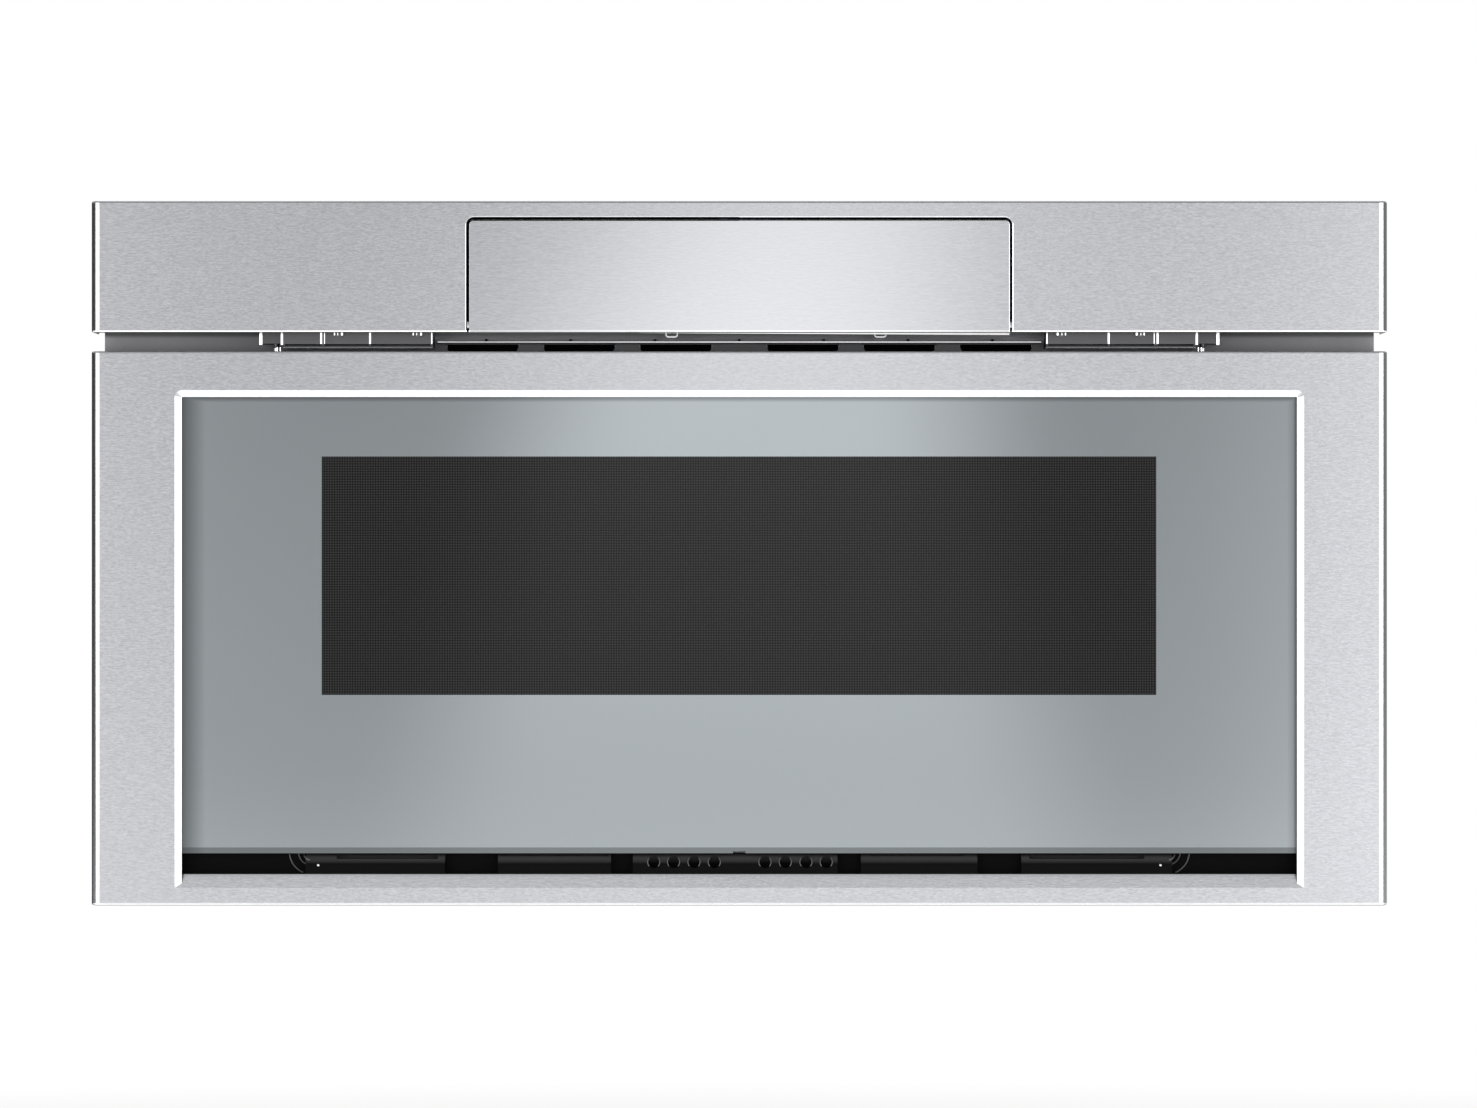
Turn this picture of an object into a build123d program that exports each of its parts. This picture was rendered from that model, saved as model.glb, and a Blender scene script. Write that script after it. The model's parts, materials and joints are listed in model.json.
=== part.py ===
import math
import os

from build123d import *

os.makedirs("parts", exist_ok=True)

# A built-in microwave drawer. X runs to the right seen from the front, Y runs into the
# cabinet and Z runs up. The origin is the centre of the four flange screws, on the
# cabinet face that the flange seats on. All sizes are in millimetres.

# ---------------------------------------------------------------- driving dimensions
WIDTH = 758.8  # fascia and drawer front
HEIGHT = 412.3  # foot of the drawer front to the top of the fascia
DEPTH = 593.7  # front faces to the back panel
PROUD = 41.2  # front faces before the cabinet face
SCREW_HEIGHT = 206.0  # screw pattern's centre above the foot of the drawer front
FASCIA_HEIGHT = 76.9
FRONT_GAP = 11.0  # between the fascia and the drawer front
TRAVEL = 381.0  # how far the drawer opens
SHEET = 1.0  # case and cavity sheet
SKIN = 1.5  # stainless sheet of the front
FLANGE_SHEET = 1.2
CORNER_R = 5.0  # upright front edges of the fascia and the drawer front
FOLD_R = 1.2  # their level front edges
FASCIA_HEM = 6.0  # fold along the foot of the fascia

FRONT = -PROUD
BACK = DEPTH - PROUD
FOOT = -SCREW_HEIGHT
TOP = FOOT + HEIGHT
FASCIA_FOOT = TOP - FASCIA_HEIGHT
DRAWER_TOP = FASCIA_FOOT - FRONT_GAP
HALF = WIDTH / 2

# Flange plate and the screws through it
FLANGE_HALF = 375.0
FLANGE_Z = 199.0
SCREW_X = 365.0
SCREW_Z = 146.0
SCREW_HOLE_R = 2.5

# Case behind the flange
CASE_HALF = 355.5
CASE_FOOT = -197.0
CASE_TOP = 174.0
CORD_X = 262.0
CORD_Z = -150.0
CORD_HOLE_R = 11.0
CORD_BORE_R = 5.0

# Oven cavity, fixed in the case
CAVITY_HALF = 234.0
CAVITY_FLOOR = -122.0
CAVITY_CEILING = 88.0
CAVITY_DEPTH = 430.0
COVER_Z = 72.0  # underside of the stirrer cover
FEED_Y = 215.0  # centre of the stirrer

# Drawer tub
TUB_HALF = 222.5
TUB_FLOOR = -119.5
TUB_RIM = 20.0
TUB_BACK = 412.0
PLATE_THICK = 6.0

# Drawer front: frame, glass, grille and inner panel
FRAME_DEPTH = 30.0  # top return of the drawer front, short of the exhaust guide
SIDE_DEPTH = 36.0  # the other returns of the two fronts
OPENING_HALF = 330.4
OPENING_TOP = FOOT + 301.6
OPENING_FOOT = FOOT + 10.4
BEVEL = 3.9  # how far the bevel steps in towards the glass
BEVEL_DEPTH = 2.0
BEVEL_CORNER = 0.4  # rounding of the bevel's inner corners
SILL_RISE = 7.7
SILL_DEPTH = 6.0
GLASS_FRONT = FRONT + BEVEL_DEPTH + 1.0
GLASS_THICK = 4.0
GLASS_FOOT = FOOT + 30.5
GLASS_HALF = 334.0
GLASS_TOP = FOOT + 306.0
WINDOW_HALF = 244.4
WINDOW_FOOT = FOOT + 123.2
WINDOW_TOP = FOOT + 262.8
PANEL_FRONT = -22.0
CHOKE_IN = 236.0
CHOKE_OUT = 262.0
CHOKE_TOP = 109.0
CHOKE_FOOT = -146.0
CHOKE_WALL_TOP = 90.0
CHOKE_WALL_FOOT = -124.0
CHOKE_BACK = -2.0

# Black grille under the glass: raised panels, the slits in them, and round holes
GRILLE_FRONT = FRONT + SILL_DEPTH
GRILLE_RECESS = 8.0
GRILLE_ROUND = 7.0
GRILLE_PANELS = [(-254.2, -172.6), (-141.5, -75.3), (-62.4, 57.5), (71.3, 139.5), (165.3, 253.5)]
GRILLE_SCOOPS = [(-236.0, -176.7), (170.0, 237.3)]
GRILLE_SLITS = [(-139.7, -77.1), (77.1, 131.6)]
GRILLE_HOLES = [-50.0, -38.4, -26.4, -14.5, 15.2, 27.1, 39.2, 51.1]
GRILLE_HOLE_R = 3.5

# Exhaust guide under the fascia
VENT_PITCH = 57.0
VENT_FIRST = 37.5  # the two slots nearest to the middle
VENT_X = [side * (VENT_FIRST + VENT_PITCH * i) for side in (-1, 1) for i in range(3)]
VENT_TOP = 123.3
GUIDE_HALF = 179.5
GUIDE_FRONT = -10.0
GUIDE_FOOT = 112.0
LIP_HALF = 177.7
LIP_Z = 124.9
DIMPLE_PITCH = 49.65

# Control panel that tilts out of the fascia
DOOR_HALF = 158.3
DOOR_TOP = FOOT + 401.0
DOOR_R = 2.5
DOOR_EDGE = 0.4
CUTOUT_HALF = 159.6
CUTOUT_TOP = DOOR_TOP + 1.6
CUTOUT_BEVEL = 0.8
CUTOUT_BEVEL_DEPTH = 0.4
CUTOUT_R = 5.2
HINGE_Y = FRONT + 5.0
HINGE_Z = 134.0
HINGE_R = 2.5
HINGE_SLACK = 0.05
TILT_HALF = 154.0
CASSETTE_IN = 159.5
CASSETTE_OUT = 161.5

# Slides and drive
RAIL_X = 288.0  # inboard plane of the slides
RAIL_Z = -110.0
RAIL_LENGTH = 450.0
RAIL_START = 2.0
RAIL_SHEET = 1.5
MODULE = 1.5
PINION_TEETH = 16
SHAFT_Y = 45.0
SHAFT_Z = -167.5
SHAFT_R = 4.0
GEAR_MODULE = 1.25
GEAR_TEETH = 42
MOTOR_TEETH = 14
GEAR_X = (119.0, 126.0)
RACK_X = (280.5, 286.5)
BACKLASH = 0.3
ADDENDUM = 0.8
DEDENDUM = 1.1
PRESSURE_ANGLE = math.radians(20)

PITCH_R = MODULE * PINION_TEETH / 2
GEAR_R = GEAR_MODULE * GEAR_TEETH / 2
MOTOR_R = GEAR_MODULE * MOTOR_TEETH / 2
MOTOR_Y = SHAFT_Y + GEAR_R + MOTOR_R
RACK_PITCH_Z = SHAFT_Z + PITCH_R

# Interlock switches behind the flange
SWITCH_X = 318.0
SWITCH_Z = 60.0
PLUNGER_R = 3.0
PLUNGER_REACH = 4.0  # before the flange with the drawer shut
PLUNGER_SLACK = 0.05

# Fan and stirrer
FAN_X = 130.0
FAN_Z = -100.0
FAN_R = 58.0

# Screws: half a pattern, mirrored to the other side
SCREW_R = 1.9
SCREW_FIT_R = 1.95
BACK_SCREWS = [(349.0, z) for z in (-150.0, -50.0, 50.0, 150.0)]
BRACKET_SCREWS = [(x, 158.0) for x in (192.0, 234.5, 274.0)]
WALL_SCREWS = [(188.3, 130.3), (234.8, 130.3)]


# ---------------------------------------------------------------- building helpers
def block(x, y, z):
    """A box from pairs of low and high values."""
    centre = ((x[0] + x[1]) / 2, (y[0] + y[1]) / 2, (z[0] + z[1]) / 2)
    return Pos(*centre) * Box(x[1] - x[0], y[1] - y[0], z[1] - z[0])


def rod(along, centre, radius, length):
    """A cylinder along X, Y or Z about its centre."""
    turn = {"X": Rot(0, 90, 0), "Y": Rot(90, 0, 0), "Z": Rot(0, 0, 0)}[along]
    return Pos(*centre) * turn * Cylinder(radius, length)


def mirrored(shape):
    return mirror(shape, about=Plane.YZ)


def both(shape):
    """The same piece on both sides of the middle, as one group."""
    return Compound([shape, mirrored(shape)])


def front_sketch(sketch, y):
    """A sketch drawn in X and Z, placed at depth y, facing the front."""
    return Plane((0, y, 0), x_dir=(1, 0, 0), z_dir=(0, -1, 0)) * sketch


def front_prism(sketch, y0, y1):
    """Extrude a sketch drawn in X and Z from depth y0 to depth y1."""
    return extrude(front_sketch(sketch, y1), amount=y1 - y0)


def flared_hole(sketch, depth, step):
    """A hole through the front faces that widens by step from depth out to the face."""
    taper = math.degrees(math.atan(step / depth))
    return extrude(front_sketch(sketch, FRONT + depth), amount=depth + 0.5, taper=-taper)


def side_prism(points, x0, x1):
    """Extrude a closed outline of (y, z) points from x0 to x1."""
    outline = make_face(Polyline(*[(x0, y, z) for y, z in points], close=True))
    return extrude(outline, amount=x1 - x0, dir=(1, 0, 0))


def rectangle(x, z):
    return Pos((x[0] + x[1]) / 2, (z[0] + z[1]) / 2) * Rectangle(x[1] - x[0], z[1] - z[0])


def slot_row(count, pitch, length, width, centre):
    """Upright rounded slots side by side along X."""
    slots = Sketch()
    for i in range(count):
        x = centre[0] + (i - (count - 1) / 2) * pitch
        slots += Pos(x, centre[1]) * Rot(0, 0, 90) * SlotOverall(length, width)
    return slots


def involute_gear(module, teeth, width, x0, centre, phase_deg, bore):
    """A spur gear on an axle along X, with a tooth centred at phase_deg from +Y towards +Z."""
    pitch = module * teeth / 2
    base = pitch * math.cos(PRESSURE_ANGLE)
    tip = pitch + ADDENDUM * module
    root = pitch - DEDENDUM * module
    half_tooth = math.pi / 2 / teeth - BACKLASH / 2 / pitch
    spread = math.tan(PRESSURE_ANGLE) - PRESSURE_ANGLE

    def flank(radius):
        if radius <= base:
            return half_tooth + spread
        angle = math.acos(base / radius)
        return half_tooth + spread - (math.tan(angle) - angle)

    start = max(root, base)
    radii = [start + (tip - start) * i / 4 for i in range(5)]
    disc = Circle(root + 0.02)
    for n in range(teeth):
        middle = math.radians(phase_deg) + 2 * math.pi * n / teeth
        rising = [(root, flank(start))] + [(r, flank(r)) for r in radii[(start == root) :]]
        outline = [(r, middle - a) for r, a in rising] + [(r, middle + a) for r, a in reversed(rising)]
        points = [(r * math.cos(a), r * math.sin(a)) for r, a in outline]
        disc += make_face(Polyline(*points, close=True))
    disc -= Circle(bore)
    plane = Plane((x0, centre[0], centre[1]), x_dir=(0, 1, 0), z_dir=(1, 0, 0))
    return extrude(plane * disc, amount=width)


def screw(along, head, seat_r=3.2, length=8.0):
    """A pan-head screw whose head stands out along -Y or +Y from the point head."""
    x, y, z = head
    sign = -1 if along == "-Y" else 1
    body = rod("Y", (x, y - sign * length / 2, z), SCREW_R, length)
    cap = rod("Y", (x, y + sign * 1.1, z), seat_r, 2.2)
    recess = block((x - 0.5, x + 0.5), (y - 3, y + 3), (z - 1.8, z + 1.8))
    recess += block((x - 1.8, x + 1.8), (y - 3, y + 3), (z - 0.5, z + 0.5))
    recess &= block((x - 4, x + 4), sorted((y + sign * 1.2, y + sign * 4)), (z - 4, z + 4))
    return body + cap - recess


# ---------------------------------------------------------------- case
def front_plate():
    plate = rectangle((-FLANGE_HALF, FLANGE_HALF), (-FLANGE_Z, FLANGE_Z))
    plate = fillet(plate.vertices(), 3)
    plate -= rectangle((-CAVITY_HALF, CAVITY_HALF), (CAVITY_FLOOR, CAVITY_CEILING))
    for side in (-1, 1):
        plate -= rectangle(sorted((side * 277, side * 304)), (-160, -84))
        plate -= Pos(side * SWITCH_X, SWITCH_Z) * Circle(PLUNGER_R + 0.8)
        for z in (-SCREW_Z, SCREW_Z):
            plate -= Pos(side * SCREW_X, z) * Circle(SCREW_HOLE_R)
        plate -= slot_row(6, 9, 34, 4, (side * 320, -20))
        for x, z in BRACKET_SCREWS:
            plate -= Pos(side * x, z) * Circle(SCREW_FIT_R)
    for x in VENT_X:
        plate -= rectangle((x - 21, x + 21), (113.5, VENT_TOP))
    plate -= slot_row(44, 12, 12, 4, (0, -172))
    plate -= Pos(-120, 165) * Circle(9)
    return front_prism(plate, -FLANGE_SHEET, 0)


def base_pan():
    half = CASE_HALF - SHEET
    pan = block((-half, half), (0, BACK), (CASE_FOOT, CASE_FOOT + SHEET))
    for side in (-1, 1):
        edge = sorted((side * half, side * (half - SHEET)))
        pan += block(edge, (0, BACK - 2 * SHEET), (CASE_FOOT, CASE_FOOT + 12))
    for row in range(2):
        for i in range(14):
            x = FAN_X + (i - 6.5) * 9
            pan -= block((x - 2, x + 2), (450 + 45 * row, 485 + 45 * row), (-198, -195))
    for x in (-250, 250):
        for y in (60, 500):
            pan -= rod("Z", (x, y, CASE_FOOT), 3.5, 6)
    return pan


def side_panel():
    panel = block((CASE_HALF - SHEET, CASE_HALF), (0, BACK), (CASE_FOOT, CASE_TOP - SHEET))
    for row in range(3):
        for i in range(16):
            y = 400 + i * 8
            panel -= block((350, 360), (y, y + 3.5), (-150 + 60 * row, -108 + 60 * row))
    flange = (BACK - 2 * SHEET, BACK - SHEET)
    panel += block((CASE_HALF - 13, CASE_HALF), flange, (CASE_FOOT + 12, CASE_TOP - 12))
    for x, z in BACK_SCREWS:
        panel -= rod("Y", (x, BACK, z), SCREW_FIT_R, 20)
    return panel


def back_panel():
    half = CASE_HALF - SHEET
    sheet = rectangle((-half, half), (CASE_FOOT + SHEET, CASE_TOP - SHEET))
    sheet -= Pos(CORD_X, CORD_Z) * Circle(CORD_HOLE_R)
    for x, z in BACK_SCREWS:
        sheet -= Pos(x, z) * Circle(SCREW_FIT_R) + Pos(-x, z) * Circle(SCREW_FIT_R)
    for ring in range(1, 5):
        radius = ring * 11.5
        arms = 8 * ring
        for n in range(arms):
            turn = 360 * n / arms
            sheet -= Pos(FAN_X, FAN_Z) * Rot(0, 0, turn) * Pos(radius, 0) * Circle(2.6)
    sheet -= slot_row(22, 10, 40, 4, (-170, 100))
    sheet -= slot_row(14, 10, 40, 4, (170, 100))
    return front_prism(sheet, BACK - SHEET, BACK)


def top_cover():
    cover = block((-CASE_HALF, CASE_HALF), (0, BACK), (CASE_TOP - SHEET, CASE_TOP))
    for side in (-1, 1):
        edge = sorted((side * (CASE_HALF - SHEET), side * (CASE_HALF - 2 * SHEET)))
        cover += block(edge, (0, BACK - 2 * SHEET), (CASE_TOP - 12, CASE_TOP))
    for i in range(26):
        x = -250 + i * 9
        cover -= block((x - 2, x + 2), (470, 520), (170, 176))
    for y in (150, 350):
        cover += block((-280, 280), (y - 6, y + 6), (CASE_TOP - 2.5, CASE_TOP - SHEET))
    return cover


def cord_bushing():
    collar = rod("Y", (CORD_X, BACK + 1.5, CORD_Z), 14, 3)
    collar += rod("Y", (CORD_X, BACK - 5, CORD_Z), CORD_HOLE_R - 0.1, 10)
    collar += rod("Y", (CORD_X, BACK - 7, CORD_Z), 13.5, 4)
    collar = fillet(collar.edges().sort_by(Axis.Y)[-1], 1)
    return collar - rod("Y", (CORD_X, BACK, CORD_Z), CORD_BORE_R, 40)


# ---------------------------------------------------------------- cavity and microwave feed
def cavity_floor():
    half = CAVITY_HALF + SHEET
    floor = block((-half, half), (0, CAVITY_DEPTH), (CAVITY_FLOOR - SHEET, CAVITY_FLOOR))
    for x in (-120, 0, 120):
        floor += block((x - 8, x + 8), (30, 400), (CAVITY_FLOOR - 2.5, CAVITY_FLOOR - SHEET))
    return floor


def cavity_side():
    side = block(
        (CAVITY_HALF, CAVITY_HALF + SHEET),
        (0, CAVITY_DEPTH),
        (CAVITY_FLOOR, CAVITY_CEILING),
    )
    for i in range(9):
        for j in range(4):
            side -= rod("X", (CAVITY_HALF, 330 + i * 8, 20 + j * 8), 2, 6)
    return side


def cavity_ceiling():
    half = CAVITY_HALF + SHEET
    ceiling = block((-half, half), (0, CAVITY_DEPTH), (CAVITY_CEILING, CAVITY_CEILING + SHEET))
    return ceiling - rod("Z", (0, FEED_Y, CAVITY_CEILING), 38, 6)


def cavity_back():
    half = CAVITY_HALF + SHEET
    return block(
        (-half, half),
        (CAVITY_DEPTH, CAVITY_DEPTH + SHEET),
        (CAVITY_FLOOR - SHEET, CAVITY_CEILING + SHEET),
    )


def stirrer_cover():
    cover = block((-115, 115), (FEED_Y - 115, FEED_Y + 115), (COVER_Z, CAVITY_CEILING))
    cover = fillet(cover.edges().filter_by(Axis.Z), 20)
    hollow = block((-112.5, 112.5), (FEED_Y - 112.5, FEED_Y + 112.5), (COVER_Z + 2, CAVITY_CEILING + 1))
    return cover - fillet(hollow.edges().filter_by(Axis.Z), 18)


def stirrer():
    blades = rod("Z", (0, FEED_Y, 80), 14, 1.2)
    for n in range(3):
        arm = Pos(52, 0, 0) * Rot(12, 0, 0) * Box(80, 34, 1.2)
        blades += Pos(0, FEED_Y, 80) * Rot(0, 0, 120 * n) * arm
    hub = rod("Z", (0, FEED_Y, 81), 7, 6)
    shaft = rod("Z", (0, FEED_Y, 108), 2.5, 58)
    return blades + hub + shaft


def waveguide():
    outer = block((-45, 45), (160, 540), (CAVITY_CEILING + SHEET, 129))
    inner = block((-43.8, 43.8), (161.2, 538.8), (CAVITY_CEILING + SHEET + 1.2, 127.8))
    guide = outer - inner
    guide -= rod("Z", (0, FEED_Y, 89), 38, 6)
    guide -= rod("Z", (0, FEED_Y, 129), 3.2, 6)
    return guide - rod("Z", (0, 495, 89), 17, 6)


def stirrer_motor():
    can = rod("Z", (0, FEED_Y, 139), 24, 20)
    can += block((-32, 32), (FEED_Y - 8, FEED_Y + 8), (129, 130.2))
    boss = rod("Z", (0, FEED_Y, 150), 9, 4)
    return can + boss - rod("Z", (0, FEED_Y, 130), 2.55, 16)


def magnetron():
    body = block((-48, 48), (455, 535), (10, 12)) + block((-48, 48), (455, 535), (73, 75))
    for side in (-1, 1):
        body += block(sorted((side * 46, side * 48)), (455, 535), (10, 75))
    body += rod("Z", (0, 495, 43), 17, 62)
    for i in range(7):
        body += block((-46, 46), (460, 530), (25.5 + 6 * i, 26.1 + 6 * i))
    body += block((-22, 22), (470, 520), (-12, 10))
    body += rod("Z", (0, 495, 82), 16.5, 14)
    return body + rod("Z", (0, 495, 99), 7, 24)


def transformer_core():
    core = block((-210, -110), (452, 532), (-196, -116))
    for side in (-1, 1):
        core -= block(sorted((-160 + side * 16, -160 + side * 34)), (450, 534), (-180, -132))
    return core


def transformer_windings():
    ring = RectangleRounded(68, 108, 5) - Rectangle(32, 80)
    return Pos(-160, 492, -180) * extrude(ring, amount=48)


def capacitor():
    can = Pos(-50, 490, -196) * Rot(0, 0, 90) * extrude(SlotOverall(70, 44), amount=72)
    for y in (474, 505):
        can += block((-52, -48), (y, y + 1), (-124, -112))
    return can


def fan_motor():
    body = block((FAN_X - 28, FAN_X + 28), (450, 478), (FAN_Z - 24, FAN_Z + 24))
    body += rod("Y", (FAN_X, 480, FAN_Z), 11, 12)
    for side in (-1, 1):
        arm = sorted((FAN_X + side * 28, FAN_X + side * 69))
        body += block(arm, (474, 478), (FAN_Z - 6, FAN_Z + 6))
    return body - rod("Y", (FAN_X, 480, FAN_Z), 2.55, 30)


def fan_blade():
    hub = rod("Y", (FAN_X, 511, FAN_Z), 13, 18)
    wheel = hub + rod("Y", (FAN_X, 494, FAN_Z), 2.5, 36)
    for n in range(5):
        sweep_face = Pos(33, 0, 0) * Rot(35, 0, 0) * Box(46, 1.6, 26)
        wheel += Pos(FAN_X, 511, FAN_Z) * Rot(0, 72 * n, 0) * sweep_face
    return wheel & rod("Y", (FAN_X, 500, FAN_Z), FAN_R - 2, 60)


def fan_shroud():
    shroud = block((FAN_X - 70, FAN_X + 70), (496, 530), (FAN_Z - 70, FAN_Z + 70))
    shroud -= block((FAN_X - 68, FAN_X + 68), (490, 528), (FAN_Z - 68, FAN_Z + 68))
    shroud -= rod("Y", (FAN_X, 530, FAN_Z), FAN_R, 12)
    for side in (-1, 1):
        post = sorted((FAN_X + side * 66, FAN_X + side * 70))
        shroud += block(post, (478, 500), (FAN_Z - 8, FAN_Z + 8))
    return shroud


def power_board():
    board = block((232, 340), (470, 471.6), (-60, 60))
    board += block((245, 285), (450, 470), (-40, 5))
    board += block((298, 325), (455, 470), (-30, 10))
    board += rod("Y", (300, 459, 36), 9, 22)
    for x in (236, 336):
        for z in (-56, 56):
            board += rod("Y", (x, 511, z), 3, 81)
    return board


def cavity_lamp():
    lamp = block((236, 258), (296, 320), (50, 74)) + rod("X", (264, 308, 62), 9, 14)
    return lamp + block((234 + SHEET, 236), (290, 326), (44, 80))


# ---------------------------------------------------------------- exhaust guide under the fascia
def vent_guide():
    back = -FLANGE_SHEET
    guide = block((-GUIDE_HALF, GUIDE_HALF), (GUIDE_FRONT, back), (GUIDE_FOOT, LIP_Z - 1.0))
    for x in VENT_X:
        wide = Polyline(
            (x - 22, VENT_TOP),
            (x + 22, VENT_TOP),
            (x + 17.5, GUIDE_FOOT + 1.2),
            (x - 17.5, GUIDE_FOOT + 1.2),
            close=True,
        )
        guide -= front_prism(make_face(wide), GUIDE_FRONT - 1, back + 1)
    guide += block((-LIP_HALF, LIP_HALF), (GUIDE_FRONT - 8, back), (LIP_Z - 1.0, LIP_Z))
    guide += block((-LIP_HALF, LIP_HALF), (GUIDE_FRONT - 4, GUIDE_FRONT - 3), (LIP_Z, LIP_Z + 1.7))
    for i in range(7):
        x = (i - 3) * DIMPLE_PITCH
        guide -= rod("Y", (x, GUIDE_FRONT - 3.5, LIP_Z + 0.8), 0.7, 3)
    guide += block((-11, 11), (GUIDE_FRONT - 1.5, GUIDE_FRONT), (LIP_Z - 3.0, LIP_Z - 1.0))
    return guide


# ---------------------------------------------------------------- fascia and its brackets
def front_shell(z0, z1, low_return, top_return):
    """A folded front: face and four returns, with round upright edges."""
    outer = block((-HALF, HALF), (FRONT, FRONT + SIDE_DEPTH), (z0, z1))
    edges = outer.edges().filter_by(Axis.Z).group_by(Axis.Y)[0]
    outer = fillet(edges, CORNER_R)
    outer = fillet(outer.faces().sort_by(Axis.Y)[0].edges().filter_by(Axis.X), FOLD_R)
    inner = block(
        (-HALF + SKIN, HALF - SKIN),
        (FRONT + SKIN, FRONT + SIDE_DEPTH + 1),
        (z0 + SKIN, z1 - SKIN),
    )
    edges = inner.edges().filter_by(Axis.Z).group_by(Axis.Y)[0]
    shell = outer - fillet(edges, CORNER_R - SKIN)
    across = (-HALF + SKIN, HALF - SKIN)
    shell -= block(across, (FRONT + low_return, 0), (z0 - 1, z0 + SKIN))
    return shell - block(across, (FRONT + top_return, 0), (z1 - SKIN, z1 + 1))


def fascia():
    shell = front_shell(FASCIA_FOOT, TOP, FASCIA_HEM, SIDE_DEPTH)
    low = FASCIA_FOOT - 20
    hole = rectangle((-CUTOUT_HALF, CUTOUT_HALF), (low, CUTOUT_TOP))
    hole = fillet(hole.vertices().group_by(Axis.Y)[-1], CUTOUT_R - CUTOUT_BEVEL)
    cut = front_prism(hole, FRONT - 1, FRONT + SIDE_DEPTH + 2)
    return shell - cut - flared_hole(hole, CUTOUT_BEVEL_DEPTH, CUTOUT_BEVEL)


def fascia_bracket():
    """Folded steel bracket that carries the right half of the fascia."""
    back = -FLANGE_SHEET
    left, right = 180.0, 267.8
    bracket = block((left, 281), (back - 1.2, back), (127, 178))
    bracket += block((left, right), (-29.8, back), (120.7, 121.9))
    bracket += block((left, right), (-31, -29.8), (122.9, 149))
    for x in (left, 216.2, 243.6, right - 1.2):
        bracket += block((x, x + 1.2), (-31, back), (121.9, 150))
    bracket += block((left, 281), (FRONT + SKIN, FRONT + SKIN + 1.2), (133, 170))
    bracket += block((left, 281), (FRONT + SKIN, back), (170, 171.2))
    bracket += block((right, 282.3), (-24, back), (123.4, 131))
    bracket += rod("Z", (272.4, -20, 121.15), 1.6, 4.5)
    for x, z in WALL_SCREWS:
        bracket += rod("Y", (x, -27.3, z), 4, 5)
        bracket -= rod("Y", (x, -28, z), SCREW_FIT_R, 8)
    for x, z in BRACKET_SCREWS:
        bracket -= rod("Y", (x, 0, z), SCREW_FIT_R, 10)
        bracket -= rod("Y", (x, FRONT + SKIN, z), 4.5, 10)
    return bracket


def screws():
    """Pan-head screws in the back panel and in the fascia brackets."""
    back = [screw("+Y", (x, BACK, z), length=6) for x, z in BACK_SCREWS]
    flange = [screw("-Y", (x, -FLANGE_SHEET - 1.2, z), length=6) for x, z in BRACKET_SCREWS]
    wall = [screw("-Y", (x, -31, z), length=6) for x, z in WALL_SCREWS]
    right = back + flange + wall
    return Compound(right + [mirrored(s) for s in right])


# ---------------------------------------------------------------- tilting control panel
def control_door():
    face = rectangle((-DOOR_HALF, DOOR_HALF), (FASCIA_FOOT, DOOR_TOP))
    face = fillet(face.vertices().group_by(Axis.Y)[-1], DOOR_R)
    pan = front_prism(face, FRONT, FRONT + 8)
    inner = rectangle((-DOOR_HALF + SKIN, DOOR_HALF - SKIN), (FASCIA_FOOT + SKIN, DOOR_TOP - SKIN))
    pan -= front_prism(inner, FRONT + SKIN, FRONT + 9)
    pan -= rod("X", (0, HINGE_Y, HINGE_Z), HINGE_R, 2 * DOOR_HALF + 2)
    face = pan.faces().sort_by(Axis.Y)[0]
    return chamfer(face.edges(), DOOR_EDGE, DOOR_EDGE / 2, reference=face)


TILT_OUTLINE = [
    (FRONT + SKIN, 133.0),
    (FRONT + SKIN, 192.5),
    (FRONT + 4, 193.0),
    (-3.5, 183.0),
    (-3.5, 152.0),
    (-14.0, 136.0),
    (FRONT + 9.5, 131.2),
]


def tilt_point(along, inset):
    """A point on the deck of the control panel, from front (0) to back (1), below its top."""
    y0, z0 = TILT_OUTLINE[2]
    y1, z1 = TILT_OUTLINE[3]
    return y0 + (y1 - y0) * along, z0 + (z1 - z0) * along - inset


def deck_slab(x, along, inset, thick):
    """A slab that lies in the sloped deck, from depth inset downwards."""
    near = tilt_point(along[0], inset)
    far = tilt_point(along[1], inset)
    low = [(y, z - thick) for y, z in (far, near)]
    return side_prism([near, far, *low], x[0], x[1])


def control_housing():
    body = side_prism(TILT_OUTLINE, -TILT_HALF, TILT_HALF)
    front, deck_y = FRONT + SKIN + 2, -5.5
    hollow = [(front, 135.5), (front, 189.0), (deck_y, 178.5), (deck_y, 153.0), (-15.0, 138.5)]
    body -= side_prism(hollow, -TILT_HALF + 2, TILT_HALF - 2)
    body -= deck_slab((-150, 150), (0.06, 0.94), -1, 3)
    body -= deck_slab((-146, 146), (0.1, 0.9), 1, 8)
    return body - rod("X", (0, HINGE_Y, HINGE_Z), HINGE_R, 2 * TILT_HALF + 2)


def touch_glass():
    return deck_slab((-149.7, 149.7), (0.07, 0.93), 0, 2)


def control_board():
    """Circuit board under the deck, with the display on it."""
    board = deck_slab((-140, 140), (0.14, 0.86), 5, 1.6)
    board += deck_slab((-44, 44), (0.2, 0.8), 2.2, 2.8)
    for x in (-110, -30, 60, 105):
        board += deck_slab((x - 9, x + 9), (0.3, 0.7), 6.6, 4)
    return board


def hinge_pins():
    return both(rod("X", (156.5, HINGE_Y, HINGE_Z), HINGE_R, 12))


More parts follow.
